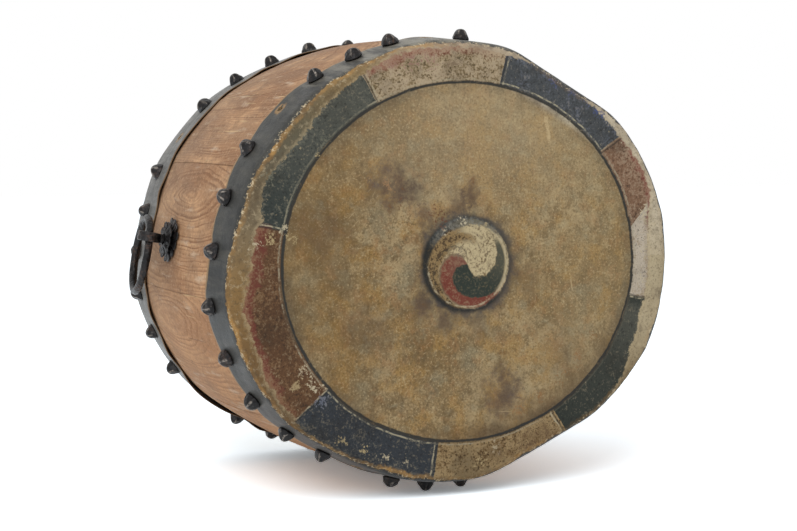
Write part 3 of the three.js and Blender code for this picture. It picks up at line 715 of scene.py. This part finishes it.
def paint_face(shade, colour, raw_x, raw_z, round_x, round_z, turn, cloud, grit, ragged, fleck):
    """Stains, ring of panels, dark ring line and three-comma disc, laid over the bare hide."""
    hide = colour
    reach = shade.length(round_x, round_z)
    ring = shade.length(round_x - LINE_X, round_z - LINE_Z) - LINE_RADIUS
    place = shade.join(raw_x, 0.0, raw_z)
    blots = shade.noise(place, 0.06, 6.0, 0.72)
    chips = shade.noise(place, 0.24, 4.0, 0.68)
    uneven = (ragged - 0.5) * 4.0
    dust = grit * 0.5 + fleck * 0.5
    broken = (grit + cloud * 0.6).step(0.72, 0.88, 1.0, 0.1)

    # Brown stains and pale scratches of the bare middle.
    spread = (blots - 0.5) * 4.0 + (fleck - 0.5) * 2.4 + (grit - 0.5) * 1.6
    for x, z, radius, strength in STAINS:
        far = shade.distance(place, (x, 0.0, z)) * (1.0 / radius) + spread
        colour = shade.layers(colour, (far, 1.4, 0.1, strength, (84, 68, 58)))
    cores = blots.step(0.34, 0.42, 0.4, 0.0) * reach.fade(95.0, 130.0)
    colour = shade.mix(cores, colour, (122, 84, 46))
    for x, z, to_x, to_z, half, strength in SCRATCHES:
        span = math.hypot(to_x - x, to_z - z)
        step_x = (to_x - x) / span
        step_z = (to_z - z) / span
        off_x = raw_x - x
        off_z = raw_z - z
        forward = off_x * step_x + off_z * step_z
        beside = abs((off_x * step_z - off_z * step_x) + uneven * (half * 0.8))
        past = (forward - span).most(forward * -1.0)
        scratch = beside.fade(half * 0.3, half) * past.fade(-5.0, 1.0) * broken * strength
        colour = shade.mix(scratch, colour, (194, 172, 132))

    # Ring of panels between the dark line and the ragged outer edge.
    limit = shade.ramp(turn, [(angle / 360, size / PAINT_LIMIT) for angle, size in PAINT_REACH])
    inside = limit * PAINT_LIMIT - reach + (uneven * 3.0 + (grit - 0.5) * 9.0) + (cloud - 0.5) * 12.0
    # Here this is wear only: paint rubbed thin next to its inner edge.
    rubbed_and_glint = inside.step(0.0, 8.0, 0.07, 0.0)
    slant = shade.ramp(turn, ((0.0, 1.0), (0.06, 1.0), (0.085, 0.0), (0.97, 0.0), (1.0, 1.0)))
    bent = shade.math("FRACT", turn - (reach - 188.0) * 0.0007 * slant + 1.0)
    panels = [(0.0, *PANELS[-1][1:])] + [(start / 360, *looks) for start, *looks in PANELS]
    fresh, old, wear = (
        shade.ramp(bent, [(row[0], row[column]) for row in panels], "CONSTANT") for column in (1, 2, 3))
    mottle = grit * 0.32 + (ragged * 0.3 + fleck * 0.38)
    worn = (mottle + rubbed_and_glint + wear).step(0.96, 1.08)
    thin = shade.ramp(turn, (
        (0.0, 0.0), (0.325, 0.0), (0.33, 0.3), (0.4, 0.2), (0.45, 0.0), (0.84, 0.0), (0.9, 0.08),
        (0.955, 0.34), (0.962, 0.0)))
    paint = shade.layers(
        shade.mix(thin, shade.mix(worn, fresh, old), (118, 116, 104)),
        (dust, 0.53, 0.62, 0.4, (134, 124, 104)),
        (dust, 0.46, 0.38, 0.5, (28, 26, 24)),
        (cloud, 0.48, 0.68, 0.4, (44, 40, 34)),
        (fleck, 0.46, 0.3, 0.45, (32, 30, 27)),
        (chips + rubbed_and_glint * 1.1, 0.66, 0.7, 0.7, (164, 150, 120)),
    )
    crimson = shade.ramp(turn, (
        (0.0, 0.0), (0.02, 0.0), (0.035, 1.0), (0.098, 0.9), (0.1, 0.0), (0.21, 0.0), (0.24, 0.5),
        (0.28, 0.9), (0.322, 0.9), (0.326, 0.0), (0.466, 0.0), (0.469, 0.8), (0.57, 0.8), (0.616, 0.3),
        (0.618, 0.0)))
    band = shade.ramp(turn, (
        (0.0, 0.3), (0.1, 0.3), (0.2, 0.5), (0.4, 0.5), (0.47, 0.62), (0.54, 0.62), (0.6, 0.3)))
    fringe = (inside + (cloud - 0.5) * 20.0 - band * 17.0).fade(-3.0, 2.0)
    crimson = crimson * dust.step(0.44, 0.58, 0.9, 0.45) * fringe
    paint = shade.mix(crimson, paint, shade.mix(worn, (106, 54, 46), (136, 92, 76)))
    cover = inside.step(0.0, 1.6) * ring.step(0.6, 1.6)
    pale = inside.step(-4.0, -0.6) * inside.fade(0.2, 1.4) * (broken * 0.45)
    colour = shade.layers(colour, (pale, (182, 164, 130)), (cover, paint))

    # Thin pale and dark lines between the panels; the first panel starts without them.
    for start, *looks in PANELS[1:]:
        aside = (turn - start / 360) * (reach * (2 * math.pi)) + uneven * 0.4
        pale_at, dark_at = (2.2, 0.0) if start == PANELS[1][0] else (0.0, 2.0)
        pale = abs(aside - pale_at).fade(0.4, 1.1) * cover * (broken * 0.8)
        dark = abs(aside - dark_at).fade(0.5, 1.2) * cover * 0.6
        colour = shade.layers(colour, (dark, (40, 40, 38)), (pale, (174, 164, 138)))

    # Ring line: pale rim outside it, smudges inside it with a darker band at the lower right, and the dark
    # line itself.
    rim = abs(ring - 3.2).fade(0.4, 1.1)
    kept = shade.ramp(turn, (
        (0.098, 0.6), (0.1, 1.0), (0.21, 1.0), (0.215, 0.6), (0.33, 0.6), (0.345, 0.25), (0.43, 0.25),
        (0.46, 0.6), (0.615, 0.6), (0.62, 0.9), (0.72, 0.9), (0.73, 0.6), (0.8, 0.6), (0.84, 0.1),
        (0.96, 0.1), (1.0, 0.6)))
    low = shade.ramp(turn, ((0.7, 0.0), (0.77, 0.65), (0.88, 0.6), (0.97, 0.0)))
    within = ring.fade(1.0, 3.0)
    line = (abs(ring + uneven * 0.4) + uneven * 0.4 + (cloud - 0.5) * 2.5).fade(0.8, 1.9)
    colour = shade.layers(
        colour,
        (rim * (broken * kept), (164, 156, 132)),
        (ring.step(-14.0, -1.0) * within * cloud.step(0.36, 0.64, 0.05, 0.55), (78, 70, 58)),
        (ring.step(-26.0, -2.0) * within * low * cloud.step(0.38, 0.6, 0.6, 1.0), (80, 62, 44)),
        (line * grit.step(0.56, 0.72, 0.95, 0.5), (42, 43, 42)),
    )

    # Disc with three swirling commas.
    off_x = (raw_x - DISC_X) * 0.97
    off_z = raw_z - DISC_Z
    span = shade.length(off_x, off_z)
    hand = shade.math("ARCTAN2", off_z, off_x)
    smear = span + (blots - 0.5) * 40.0
    colour = shade.layers(
        colour,
        (smear, 64.0, 41.0, 0.65, (82, 70, 54)),
        (smear, 53.0, 42.0, 0.6, (70, 70, 74)),
    )
    share = span * (1 / DISC_RADIUS)
    swirl = hand * (0.5 / math.pi) - share * share * COMMA_TWIST + (grit - 0.5) * 0.1
    swirl = shade.math("FRACT", swirl + (uneven * 0.012 + 3.0))
    brush = shade.noise(shade.join(swirl * 32.0, span * 0.16, 0.0), 1.0, 4.0, 0.65)
    flaked = (fleck * 0.45 + (grit * 0.25 + brush * 0.3)).step(0.48, 0.6)
    speckle = shade.mix(dust.step(0.45, 0.54), (68, 50, 32), (142, 118, 80))
    tail = swirl.step(0.0, 0.1) * swirl.fade(0.3, 0.34) * share.step(0.42, 0.6)
    left = abs(hand).step(1.7, 2.4) * share.step(0.5, 0.75)
    upper = hand.step(1.5, 2.1) * share.step(0.5, 0.68)
    cream = shade.layers(
        shade.mix(flaked, (188, 172, 136), (106, 92, 70)),
        (brush, 0.5, 0.66, 0.4, (104, 92, 76)),
        (tail.most(left * 0.8).most(upper) * 0.95, speckle),
    )
    red = shade.layers(
        shade.mix(flaked, (112, 58, 47), (128, 88, 70)),
        (share, 0.6, 0.25, 0.4, (126, 100, 84)),
        (dust, 0.5, 0.57, 0.4, (150, 122, 98)),
        (dust, 0.45, 0.38, 0.5, (84, 52, 42)),
    )
    green = shade.layers(
        shade.mix(flaked, (44, 50, 44), (70, 72, 60)),
        (hand, -0.9, 0.3, 0.5, (98, 94, 78)),
    )
    in_red = swirl.step(0.31, 0.37) * swirl.fade(0.51, 0.525)
    top_side = hand.step(0.45, 0.8) * share.step(0.5, 0.7)
    in_green = swirl.step(0.51, 0.525) * swirl.fade(0.79, 0.82)
    in_green = in_green * (1.0 - top_side * fleck.step(0.4, 0.6, 1.0, 0.5))
    disc = shade.layers(cream, (in_red, red), (in_green, green))
    for border, strength in ((0.34, 0.4), (0.24, 0.6), (0.52, 0.6), (0.8, 0.3)):
        disc = shade.mix(abs(swirl - border).fade(0.004, 0.014) * strength, disc, (54, 50, 42))
    right_rim = share.step(0.87, 0.92) * abs(hand - 0.15).fade(0.75, 1.0)
    lost = (fleck * 0.6 + grit * 0.4).step(0.54, 0.6, 0.0, 0.75)
    lost = lost * (1.0 - in_red.most(in_green) * 0.6)
    disc = shade.layers(disc, (right_rim * 0.85, cream), (lost, hide))
    ragged_span = span + (uneven * 0.9 + (fleck - 0.5) * 3.0)
    edge = abs(ragged_span - 40.4).fade(0.4, 1.3) * (broken * 0.75)
    colour = shade.layers(colour, (ragged_span.fade(42.0, 43.2), disc), (edge, (178, 166, 138)))

    # Dark outline of the disc, broad and blue-grey at the top.
    around = hand * (0.5 / math.pi) + 0.5
    depth = shade.ramp(around, (
        (0.0, 0.08), (0.1, 0.05), (0.2, 0.03), (0.32, 0.02), (0.56, 0.02), (0.66, 0.1), (0.78, 0.19),
        (0.9, 0.13), (1.0, 0.08)))
    faded = shade.ramp(around, (
        (0.0, 0.95), (0.34, 0.9), (0.42, 0.5), (0.58, 0.45), (0.66, 0.75), (0.8, 0.8), (0.92, 0.95)))
    crown = shade.ramp(around, ((0.58, 0.0), (0.66, 1.0), (0.86, 1.0), (0.94, 0.0)))
    outer = ragged_span - DISC_RADIUS + depth * DISC_RADIUS
    outer = outer + (cloud - 0.5) * 6.0 + (grit - 0.5) * 7.0
    outline = outer.step(-1.2, 1.8) * ragged_span.fade(43.8, 48.5) * faded * grit.step(0.54, 0.7, 1.0, 0.6)
    crown = crown * ragged_span.step(42.5, 46.0, 1.0, 0.3) * dust.step(0.42, 0.58, 0.2, 1.0)
    colour = shade.mix(outline, colour, shade.mix(crown, (30, 32, 31), (112, 114, 110)))

    # Clusters of flaked paint.
    crumbs = grit * 0.45 + fleck * 0.55
    wander = shade.join(raw_x + (blots - 0.5) * 24.0, 0.0, raw_z + (ragged - 0.5) * 16.0)
    for x, z, radius, strength, tint in FLAKES:
        close = shade.distance(wander, (x, 0.0, z)).step(0.0, radius * 1.9, 0.0, 0.2)
        colour = shade.layers(colour, (crumbs - close, 0.475, 0.53, strength, tint))
    return colour


wood = wood_material()
iron = iron_material()
front_skin = hide_material("painted_front_hide", True)
rear_skin = hide_material("grey_rear_hide", False)


# Staves: rounded at the seams, with a slight step where two boards meet unevenly.

def build_stave(index):
    start = FIRST_SEAM + stave_starts[index]
    width = stave_widths[index]
    arc = math.radians(width) * BELLY_RADIUS
    count = STAVE_STEPS * STAVES[index][0]
    inset = STAVE_GAP / 2 / arc
    share = 0.5 - 0.5 * np.cos(np.linspace(0, math.pi, count))
    share = inset + share * (1 - 2 * inset)
    to_seam = np.minimum(share, 1 - share) * arc
    drop = SEAM_ROUND - np.sqrt(SEAM_ROUND ** 2 - np.maximum(SEAM_ROUND - to_seam, 0) ** 2)
    step_down = np.random.default_rng(100 + index).uniform(0.0, 0.5, 2)
    lean = step_down[0] * (1 - share) ** 4 + step_down[1] * share ** 4
    heart_share, heart_along, pitch = GRAIN_HEARTS[index]
    across = (share - heart_share) * arc
    stations = np.concatenate((np.linspace(-SHELL_HALF, -100, 6), np.linspace(-92, 92, 24),
                               np.linspace(100, SHELL_HALF, 6)))
    rows = []
    grain = []
    for y in stations:
        chamfer = END_CHAMFER * (1 - min((SHELL_HALF - abs(y)) / CHAMFER_LENGTH, 1.0)) ** 2
        dress = 0.12 * np.sin(share * 23 + y * 0.021 + index) + 0.1 * np.sin(y * 0.05 + share * 9 + index)
        top = -drop - lean - chamfer - 0.1 + np.minimum(dress, 0.1)
        rows.append(shell_point(start + share * width, y, top))
        rows.append(shell_point(start + share[::-1] * width, y, -STAVE_THICKNESS))
        place = np.stack((np.full(count, y - heart_along), across, np.full(count, index * 7.3)), axis=-1)
        grain += [place, place[::-1]]
    grimy = np.concatenate((np.exp(-to_seam / SEAM_GRIME), np.zeros(count)))
    points = np.concatenate(rows) * MM
    name = "stave_%02d" % (index + 1)
    faces = capped_faces(len(stations), 2 * count)
    obj = make_piece("wood_" + name, points, faces, "drum", wood, (name,), 50)
    store(obj, "grain", np.concatenate(grain))
    store(obj, "seam", np.tile(grimy, len(stations)))
    store(obj, "pitch", np.full(len(points), pitch))
    holes = [(angle, -NAIL_LINE) for angle in front_lost] + [(angle, NAIL_LINE) for angle in rear_lost]
    cutters = [(shell_frame(angle, y, 0.0), 4.6, 13.0) for angle, y in holes if (angle - start) % 360 < width]
    if cutters:
        cut_holes(obj, cutters)


for number in range(len(STAVES)):
    build_stave(number)


# Hides: flat face, tight fold, and a skirt that lifts and waves between the nails.

hide_angles = np.arange(HIDE_STEPS) * 360 / HIDE_STEPS


def build_hide(name, end, nails, lost, width, lift, thin, material):
    source = 7 if end < 0 else 8
    arc = math.radians(1) * END_RADIUS
    slack = waves(hide_angles, source + 40, (6, 13, 22, 37))
    creases = waves(hide_angles, source + 60, (29, 41, 58, 83, 117))
    factor = stave_factor(hide_angles)
    rows = []
    past = []
    rust = []
    bare = []

    def ring(depth, height):
        y = end * (SHELL_HALF - depth)
        reach = barrel_radius(np.minimum(np.abs(y), SHELL_HALF)) * factor + height
        return around_axis(hide_angles, y, reach)

    def nearness(places, depth, size, core=0.0):
        """1 at the nearest nail, falling with the distance from its core."""
        total = np.zeros(HIDE_STEPS)
        for nail in places:
            off = np.abs((hide_angles - nail + 180) % 360 - 180) * arc
            far = np.hypot(off, depth - NAIL_DEPTH)
            total = np.maximum(total, np.exp(-(np.maximum(far - core, 0) / size) ** 2))
        return total

    def keep(points, place, stain=0.0, gone=0.0):
        rows.append(points)
        past.append(np.full(HIDE_STEPS, place))
        rust.append(np.full(HIDE_STEPS, stain))
        bare.append(np.full(HIDE_STEPS, gone))

    held = 1 - nearness(nails, NAIL_DEPTH, 14)

    def lifted(share):
        return lift * (0.15 + 0.85 * held) * smooth(share, 0.62, 1.05)

    inner_radius = STAVE_EDGE + HIDE_GAP
    outer_radius = inner_radius + HIDE_THICKNESS
    fold = outer_radius * math.pi / 2
    rim = ring(STAVE_EDGE - outer_radius, -STAVE_EDGE)
    middle = np.array([AXIS_X, rim[0, 1], AXIS_Z])
    for share in (0.02, 0.1, 0.2, 0.32, 0.44, 0.56, 0.67, 0.76, 0.83, 0.89, 0.94, 0.975):
        keep(middle + (rim - middle) * share, (share - 1) * FACE_REACH)
    for degrees in range(0, 91, 9):
        bend = math.radians(degrees)
        swell = (0.4 * slack + 0.3 * creases) * math.sin(2 * bend) - 0.2
        depth = STAVE_EDGE - (outer_radius + swell) * math.cos(bend)
        height = (outer_radius + swell) * math.sin(bend) - STAVE_EDGE
        keep(ring(np.maximum(depth, STAVE_EDGE - outer_radius), height), outer_radius * bend)
    skirt = np.linspace(0, 1, 26)[1:]
    for share in skirt:
        depth = STAVE_EDGE + share * (width - STAVE_EDGE)
        height = HIDE_GAP + HIDE_THICKNESS - 0.55 * nearness(nails, depth, 10)
        height = height + (0.28 * slack + 0.12 * creases) * math.sin(math.pi * share) + lifted(share)
        height = height - thin * smooth(share, 0.7, 1.0)
        to_edge = RAW_EDGE - (1 - share) * (width - STAVE_EDGE)
        keep(ring(depth, height), fold + np.maximum(share * 10, to_edge),
             nearness(nails, depth, 5, 7), nearness(lost, depth, 8))
    for out, rise in ((0.5, 0.86), (0.8, 0.55), (0.6, 0.22), (0.1, 0.0)):
        height = HIDE_GAP + (HIDE_THICKNESS - thin) * rise + lifted(1.0)
        keep(ring(width + out, height), fold + RAW_EDGE + 1.0)
    for share in skirt[::-1][1::2]:
        depth = STAVE_EDGE + share * (width - STAVE_EDGE)
        keep(ring(depth, HIDE_GAP + lifted(share)), fold + share * 42.0)
    for degrees in (90, 60, 30, 0):
        bend = math.radians(degrees)
        depth = STAVE_EDGE - inner_radius * math.cos(bend)
        keep(ring(depth, inner_radius * math.sin(bend) - STAVE_EDGE), 0.0)
    inner_rim = rows[-1]
    inner_middle = np.array([AXIS_X, inner_rim[0, 1], AXIS_Z])
    for share in (0.75, 0.4, 0.02):
        keep(inner_middle + (inner_rim - inner_middle) * share, -100.0)
    faces = capped_faces(len(rows), HIDE_STEPS)
    node = "front_head" if end < 0 else "rear_head"
    obj = make_piece(name, np.concatenate(rows) * MM, faces, "drum", material, (node,), 60)
    store(obj, "past_fold", np.concatenate(past))
    store(obj, "rust", np.concatenate(rust))
    store(obj, "lost", np.concatenate(bare))
    cut_holes(obj, [(shell_frame(hole, end * NAIL_LINE, HIDE_THICKNESS), 5.4, 8.0) for hole in lost])


front_width = SKIRT_WIDTH + 0.3 + 2.1 * waves(hide_angles, 27, (4, 7, 11, 19, 31, 47))
front_lift = np.maximum(0.9 + 0.9 * waves(hide_angles, 7, (5, 9, 14, 23)), 0.1)
rear_width = REAR_SKIRT_WIDTH + 0.5 + 1.5 * waves(hide_angles, 28, (4, 7, 11, 19, 31, 47))
rear_width = rear_width + 12 * bulge_at(hide_angles, 172, 24) - 8 * bulge_at(hide_angles, 222, 30)
rear_lift = np.maximum(2.6 + 1.5 * waves(hide_angles, 8, (3, 5, 9, 14, 23)), 0.4)
rear_lift = rear_lift * (1 - 0.35 * bulge_at(hide_angles, 181, 12) - 0.35 * bulge_at(hide_angles, 351, 12))
rear_lift = rear_lift * (1 - 0.5 * bulge_at(hide_angles, 122, 36))
front_nails = [front_nail_angle(index) for index in range(NAIL_COUNT) if index not in FRONT_MISSING]
rear_nails = [rear_nail_angle(index) for index in range(NAIL_COUNT) if index not in REAR_MISSING]
build_hide("front_hide", -1, front_nails, front_lost, front_width, front_lift, 0.6, front_skin)
build_hide("rear_hide", 1, rear_nails, rear_lost, rear_width, rear_lift, 1.3, rear_skin)


# Nails: hand-forged heads, blunt and faceted, each one a little different.

def build_nail(name, matrix, nodes):
    phase = rng.uniform(0, 6.28)
    blend = rng.uniform(0.75, 1.0)
    lean_x, lean_y = rng.uniform(-0.9, 0.9, 2)
    radius = NAIL_RADIUS * rng.uniform(0.93, 1.04)
    tall = NAIL_HEIGHT * rng.uniform(0.9, 1.0)
    blunt = rng.uniform(0.0, 1.0)
    profile = (
        (0.86, -0.06), (0.98, 0.0), (1.02, 0.08), (1.0, 0.16), (0.9, 0.34), (0.75, 0.55),
        (0.58 + 0.05 * blunt, 0.73), (0.4 + 0.09 * blunt, 0.87), (0.24 + 0.08 * blunt, 0.95), (0.1, 0.99),
    )
    turn = np.arange(NAIL_STEPS) / NAIL_STEPS * 2 * math.pi

    def faceted(count, shift):
        step = 2 * math.pi / count
        flat = math.cos(step / 2) / np.cos(np.mod(turn + shift, step) - step / 2)
        return flat / flat.mean()

    foot = faceted(int(rng.integers(6, 9)), phase)
    tip_flat = faceted(int(rng.integers(4, 6)), phase * 1.7)
    dents = 1 + 0.025 * np.sin(3 * turn + phase * 3) + 0.02 * np.sin(5 * turn - phase)
    points = []
    edge = []
    for scale, rise in profile:
        amount = blend * smooth(rise, -0.05, 0.3)
        high = smooth(rise, 0.3, 0.6)
        flat = foot * (1 - high) + tip_flat * high
        spread = radius * scale * (1 - amount + amount * flat) * dents
        # Edge values mark where the head gets its painted highlight: along the facet ridges and at the tip.
        ridge = smooth(flat - 1, 0.02, 0.07) * smooth(rise, 0.1, 0.4)
        edge.append(np.maximum(ridge, smooth(rise, 0.9, 0.99) * 0.7))
        for reach, angle in zip(spread, turn):
            points.append(placed(matrix, reach * math.cos(angle) + lean_x * rise,
                                 reach * math.sin(angle) + lean_y * rise, rise * tall))
    tip = len(points)
    points.append(placed(matrix, lean_x, lean_y, tall))
    first = len(points)
    for half, height in ((2.0, -0.9), (2.0, -8.0), (1.0, -15.5)):
        for corner_x, corner_y in ((1, 1), (-1, 1), (-1, -1), (1, -1)):
            points.append(placed(matrix, corner_x * half, corner_y * half, height))
    faces = grid_faces(len(profile), NAIL_STEPS)
    last = tip - NAIL_STEPS
    for side in range(NAIL_STEPS):
        faces.append((last + side, last + (side + 1) % NAIL_STEPS, tip))
    # Underside of the head, joined to the square shank.
    quarter_steps = NAIL_STEPS // 4
    for quarter in range(4):
        begin = quarter_steps // 2 + quarter * quarter_steps
        corner = first + quarter
        loop = [(begin + step) % NAIL_STEPS for step in range(quarter_steps + 1)]
        for near, far in zip(loop[:-1], loop[1:]):
            faces.append((corner, far, near))
        faces.append((corner, first + (quarter + 1) % 4, loop[-1]))
    faces += grid_faces(3, 4, first)
    faces.append(tuple(range(first + 8, first + 12)))
    obj = make_piece(name, points, faces, "drum", iron, nodes, 24)
    store(obj, "edge", np.concatenate(edge + [np.ones(1), np.zeros(12)]))


for number in range(NAIL_COUNT):
    if number not in FRONT_MISSING:
        label = "front_nail_%02d" % (number + 1)
        build_nail("iron_" + label, shell_frame(front_nail_angle(number), -NAIL_LINE, FRONT_SEAT), (label,))
    if number not in REAR_MISSING:
        label = "iron_rear_nail_%02d" % (number + 1)
        build_nail(label, shell_frame(rear_nail_angle(number), NAIL_LINE, REAR_SEAT), ())


# Handles: two curled chrysanthemum plates, a strap bent into an eye, and a forged ring.

def build_rosette(name, matrix, radius, petals, base, top, fall, curl_up, node, seed):
    """Chrysanthemum plate: raised crown, hollow petals with deep notches and uneven, curled ends."""
    sides = petals * PETAL_STEPS
    turn = np.arange(sides) / sides * 2 * math.pi
    source = np.random.default_rng(seed)
    petal = np.arange(sides) // PETAL_STEPS
    size = source.uniform(0.92, 1.0, petals)[petal]
    curl = (curl_up * source.uniform(0.45, 1.1, petals))[petal]
    inside = (np.arange(sides) % PETAL_STEPS) / PETAL_STEPS
    lobe = np.maximum(np.sin(math.pi * inside), 0.0) ** 0.45
    edge = radius * (0.74 + 0.26 * lobe) * size
    points = []

    def add(reach, height):
        for side, angle in enumerate(turn):
            x = reach[side] * math.cos(angle)
            points.append(placed(matrix, x, reach[side] * math.sin(angle), height[side]))

    shares = (0.3, 0.36, 0.45, 0.54, 0.63, 0.72, 0.81, 0.89, 0.95, 0.985)
    for share in shares:
        spread = smooth(share, 0.35, 0.8)
        groove = 1.1 * (1 - lobe) * smooth(share, 0.32, 0.6)
        hollow = 0.5 * np.sin(math.pi * inside) * smooth(share, 0.45, 0.8)
        lift = curl * smooth(share, 0.6, 1.0)
        height = top - fall * smooth(share, 0.3, 0.95) - groove - hollow + lift
        add(radius * share * (1 - spread) + edge * share * spread, height)
    add(edge, height - 0.6)
    add(edge * 0.97, np.maximum(height - 1.2, base + 0.02))
    add(edge * 0.8, np.maximum(height - 1.7, base + 0.02))
    add(np.full(sides, radius * 0.3), np.full(sides, base))
    faces = grid_faces(len(shares) + 4, sides, 0, True)
    obj = make_piece(name, points, faces, "drum", iron, (node,), 45)


def build_eye(name, matrix, node):
    """Strap bent into a loop, with two legs through the wood and a clinched foot on each."""
    centre = EYE_HOLE + EYE_THICKNESS / 2
    legs = -STAVE_THICKNESS - 1.4
    leg = EYE_LEG_GAP / 2 + EYE_THICKNESS / 2
    half = [(18.0, legs - 0.4), (10.0, legs - 0.2), (4.0, legs + 0.2), (leg + 0.7, legs + 1.0),
            (leg, legs + 2.6), (leg, 1.0)]
    start = math.degrees(math.asin(leg / centre))
    path = list(half)
    for degrees in np.linspace(-90 + start, 270 - start, 41):
        bend = math.radians(degrees)
        path.append((centre * math.cos(bend), EYE_RISE + centre * math.sin(bend)))
    path += [(-axial, height) for axial, height in reversed(half)]
    path = np.array(path)
    tangent = np.gradient(path, axis=0)
    tangent /= np.linalg.norm(tangent, axis=1)[:, None]
    points = []
    for (axial, height), (along, rise) in zip(path, tangent):
        in_loop = smooth(height, 10.0, 18.0)
        half_width = EYE_STRAP - 0.3 + 0.5 * in_loop
        for corner in range(BAR_STEPS):
            bend = corner / BAR_STEPS * 2 * math.pi
            wide = half_width * math.copysign(abs(math.cos(bend)) ** 0.8, math.cos(bend))
            deep = EYE_THICKNESS / 2 * math.copysign(abs(math.sin(bend)) ** 0.7, math.sin(bend))
            if math.sin(bend) < 0:
                deep *= 1 + in_loop * (0.3 - 0.55 * math.exp(-(wide / 1.1) ** 2))
            points.append(placed(matrix, wide, axial - rise * deep, height + along * deep))
    obj = make_piece(name, points, capped_faces(len(path), BAR_STEPS), "drum", iron, (node,), 50)


def build_ring(name, body, node, seed):
    """The ring hangs where the bare ring of the same name hangs."""
    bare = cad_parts[node]
    spots = np.array([bare.matrix_world @ vertex.co for vertex in bare.data.vertices])
    centre = spots.mean(axis=0)
    axes = np.linalg.eigh(np.cov((spots - centre).T))[1]
    normal = axes[:, 0]
    first = axes[:, 2]
    second = np.cross(normal, first)
    phases = np.random.default_rng(seed).uniform(0, 6.28, 5)
    points = []
    for step in range(RING_STEPS):
        turn = step / RING_STEPS * 2 * math.pi
        swell = 0.10 * math.sin(2 * turn + phases[0]) + 0.07 * math.sin(5 * turn + phases[1])
        swell += 0.05 * math.sin(9 * turn + phases[2])
        radius = RING_RADIUS + 0.12 * math.sin(3 * turn + phases[3])
        out = math.cos(turn) * first + math.sin(turn) * second
        for corner in range(BAR_STEPS):
            bend = corner / BAR_STEPS * 2 * math.pi
            flat = 1 - 0.035 * math.cos(4 * bend + phases[4] + turn)
            bar = (RING_BAR - 0.12 + swell) * flat
            local = out * (radius + bar * math.cos(bend)) + normal * bar * math.sin(bend)
            points.append(centre + local * MM)
    faces = grid_faces(RING_STEPS, BAR_STEPS, 0, True)
    obj = make_piece(name, points, faces, body, iron, (node,), 60)


for side, turn, seed in (("left", 0.0, 5), ("right", 180.0, 6)):
    handle = shell_frame(FIRST_SEAM + HANDLE_TURN + turn, HANDLE_SHIFT, 0.0)
    build_rosette(side + "_large_flower", handle, LOWER_ROSETTE, 12, 0.35, 4.2, 2.2, 0.9,
                  side + "_lower_rosette", seed)
    build_rosette(side + "_small_flower", handle, UPPER_ROSETTE, 9, 4.65, 8.4, 2.4, 1.8,
                  side + "_upper_rosette", seed + 10)
    build_eye(side + "_strap_eye", handle, side + "_eye_pin")
    build_ring(side + "_forged_ring", side + "_ring", side + "_ring", seed + 20)


# Camera, floor and light.

VIEW_ANGLE = 25.0
CAMERA_RIGHT = (0.909961, -0.414693, 0.0)
CAMERA_UP = (0.030371, 0.066644, 0.997314)
CAMERA_BACK = (-0.413580, -0.907518, 0.073238)
CAMERA_PLACE = (-0.754080, -1.663284, 0.343543)
LAMP_PLACE = (-1.5, -1.9, 2.1)
LAMP_TARGET = (0.0, 0.0, 0.22)
WHITE_LIGHT = (1.0, 1.0, 1.0, 1)

scene = bpy.context.scene
camera_data = bpy.data.cameras.new("camera")
camera_data.sensor_width = 36
camera_data.lens = 18 / math.tan(math.radians(VIEW_ANGLE / 2))
camera = bpy.data.objects.new("camera", camera_data)
scene.collection.objects.link(camera)
view = Matrix((CAMERA_RIGHT, CAMERA_UP, CAMERA_BACK)).transposed().to_4x4()
view.translation = CAMERA_PLACE
camera.matrix_world = view
scene.camera = camera
scene.view_settings.view_transform = "Standard"


def show_where_seen(shade, lighting, seen, output):
    """One shader where it is looked at, straight or in a reflection, and the other where it lights."""
    share = shade.node("LightPath", "Is Camera Ray", {})
    for other in ("Is Glossy Ray", "Is Transmission Ray"):
        share = share.most(shade.node("LightPath", other, {}))
    chosen = shade.node("MixShader", 0, {0: share, 1: lighting, 2: seen})
    shade.put(shade.nodes[output].inputs["Surface"], chosen)


floor_mesh = bpy.data.meshes.new("floor")
floor_mesh.from_pydata([(-8, -8, 0), (8, -8, 0), (8, 8, 0), (-8, 8, 0)], [], [(0, 1, 2, 3)])
floor = bpy.data.objects.new("floor", floor_mesh)
scene.collection.objects.link(floor)
shade = Shade(bpy.data.materials.new("white_floor"))
floor_mesh.materials.append(shade.owner)
surface = shade.nodes["Principled BSDF"]
surface.inputs["Base Color"].default_value = (0.8, 0.8, 0.8, 1)
surface.inputs["Roughness"].default_value = 0.95
surface.inputs["Specular IOR Level"].default_value = 0.0
bright = shade.node("BsdfDiffuse", 0, {"Color": (1.72, 1.84, 1.93, 1)})
glow = shade.node("Emission", 0, {"Color": WHITE_LIGHT, "Strength": 0.13})
both = shade.node("AddShader", 0, {0: bright, 1: glow})
show_where_seen(shade, Value(shade, surface.outputs[0]), both, "Material Output")

world = bpy.data.worlds.new("surround")
scene.world = world
shade = Shade(world)
soft = shade.node("Background", 0, {"Color": WHITE_LIGHT, "Strength": 0.6})
white = shade.node("Background", 0, {"Color": WHITE_LIGHT, "Strength": 1.0})
show_where_seen(shade, soft, white, "World Output")

lamp_data = bpy.data.lights.new("window", "AREA")
lamp_data.shape = "DISK"
lamp_data.size = 2.0
lamp_data.energy = 43
lamp = bpy.data.objects.new("window", lamp_data)
lamp.location = LAMP_PLACE
lamp.rotation_euler = (Vector(LAMP_TARGET) - Vector(LAMP_PLACE)).to_track_quat("-Z", "Y").to_euler()
scene.collection.objects.link(lamp)
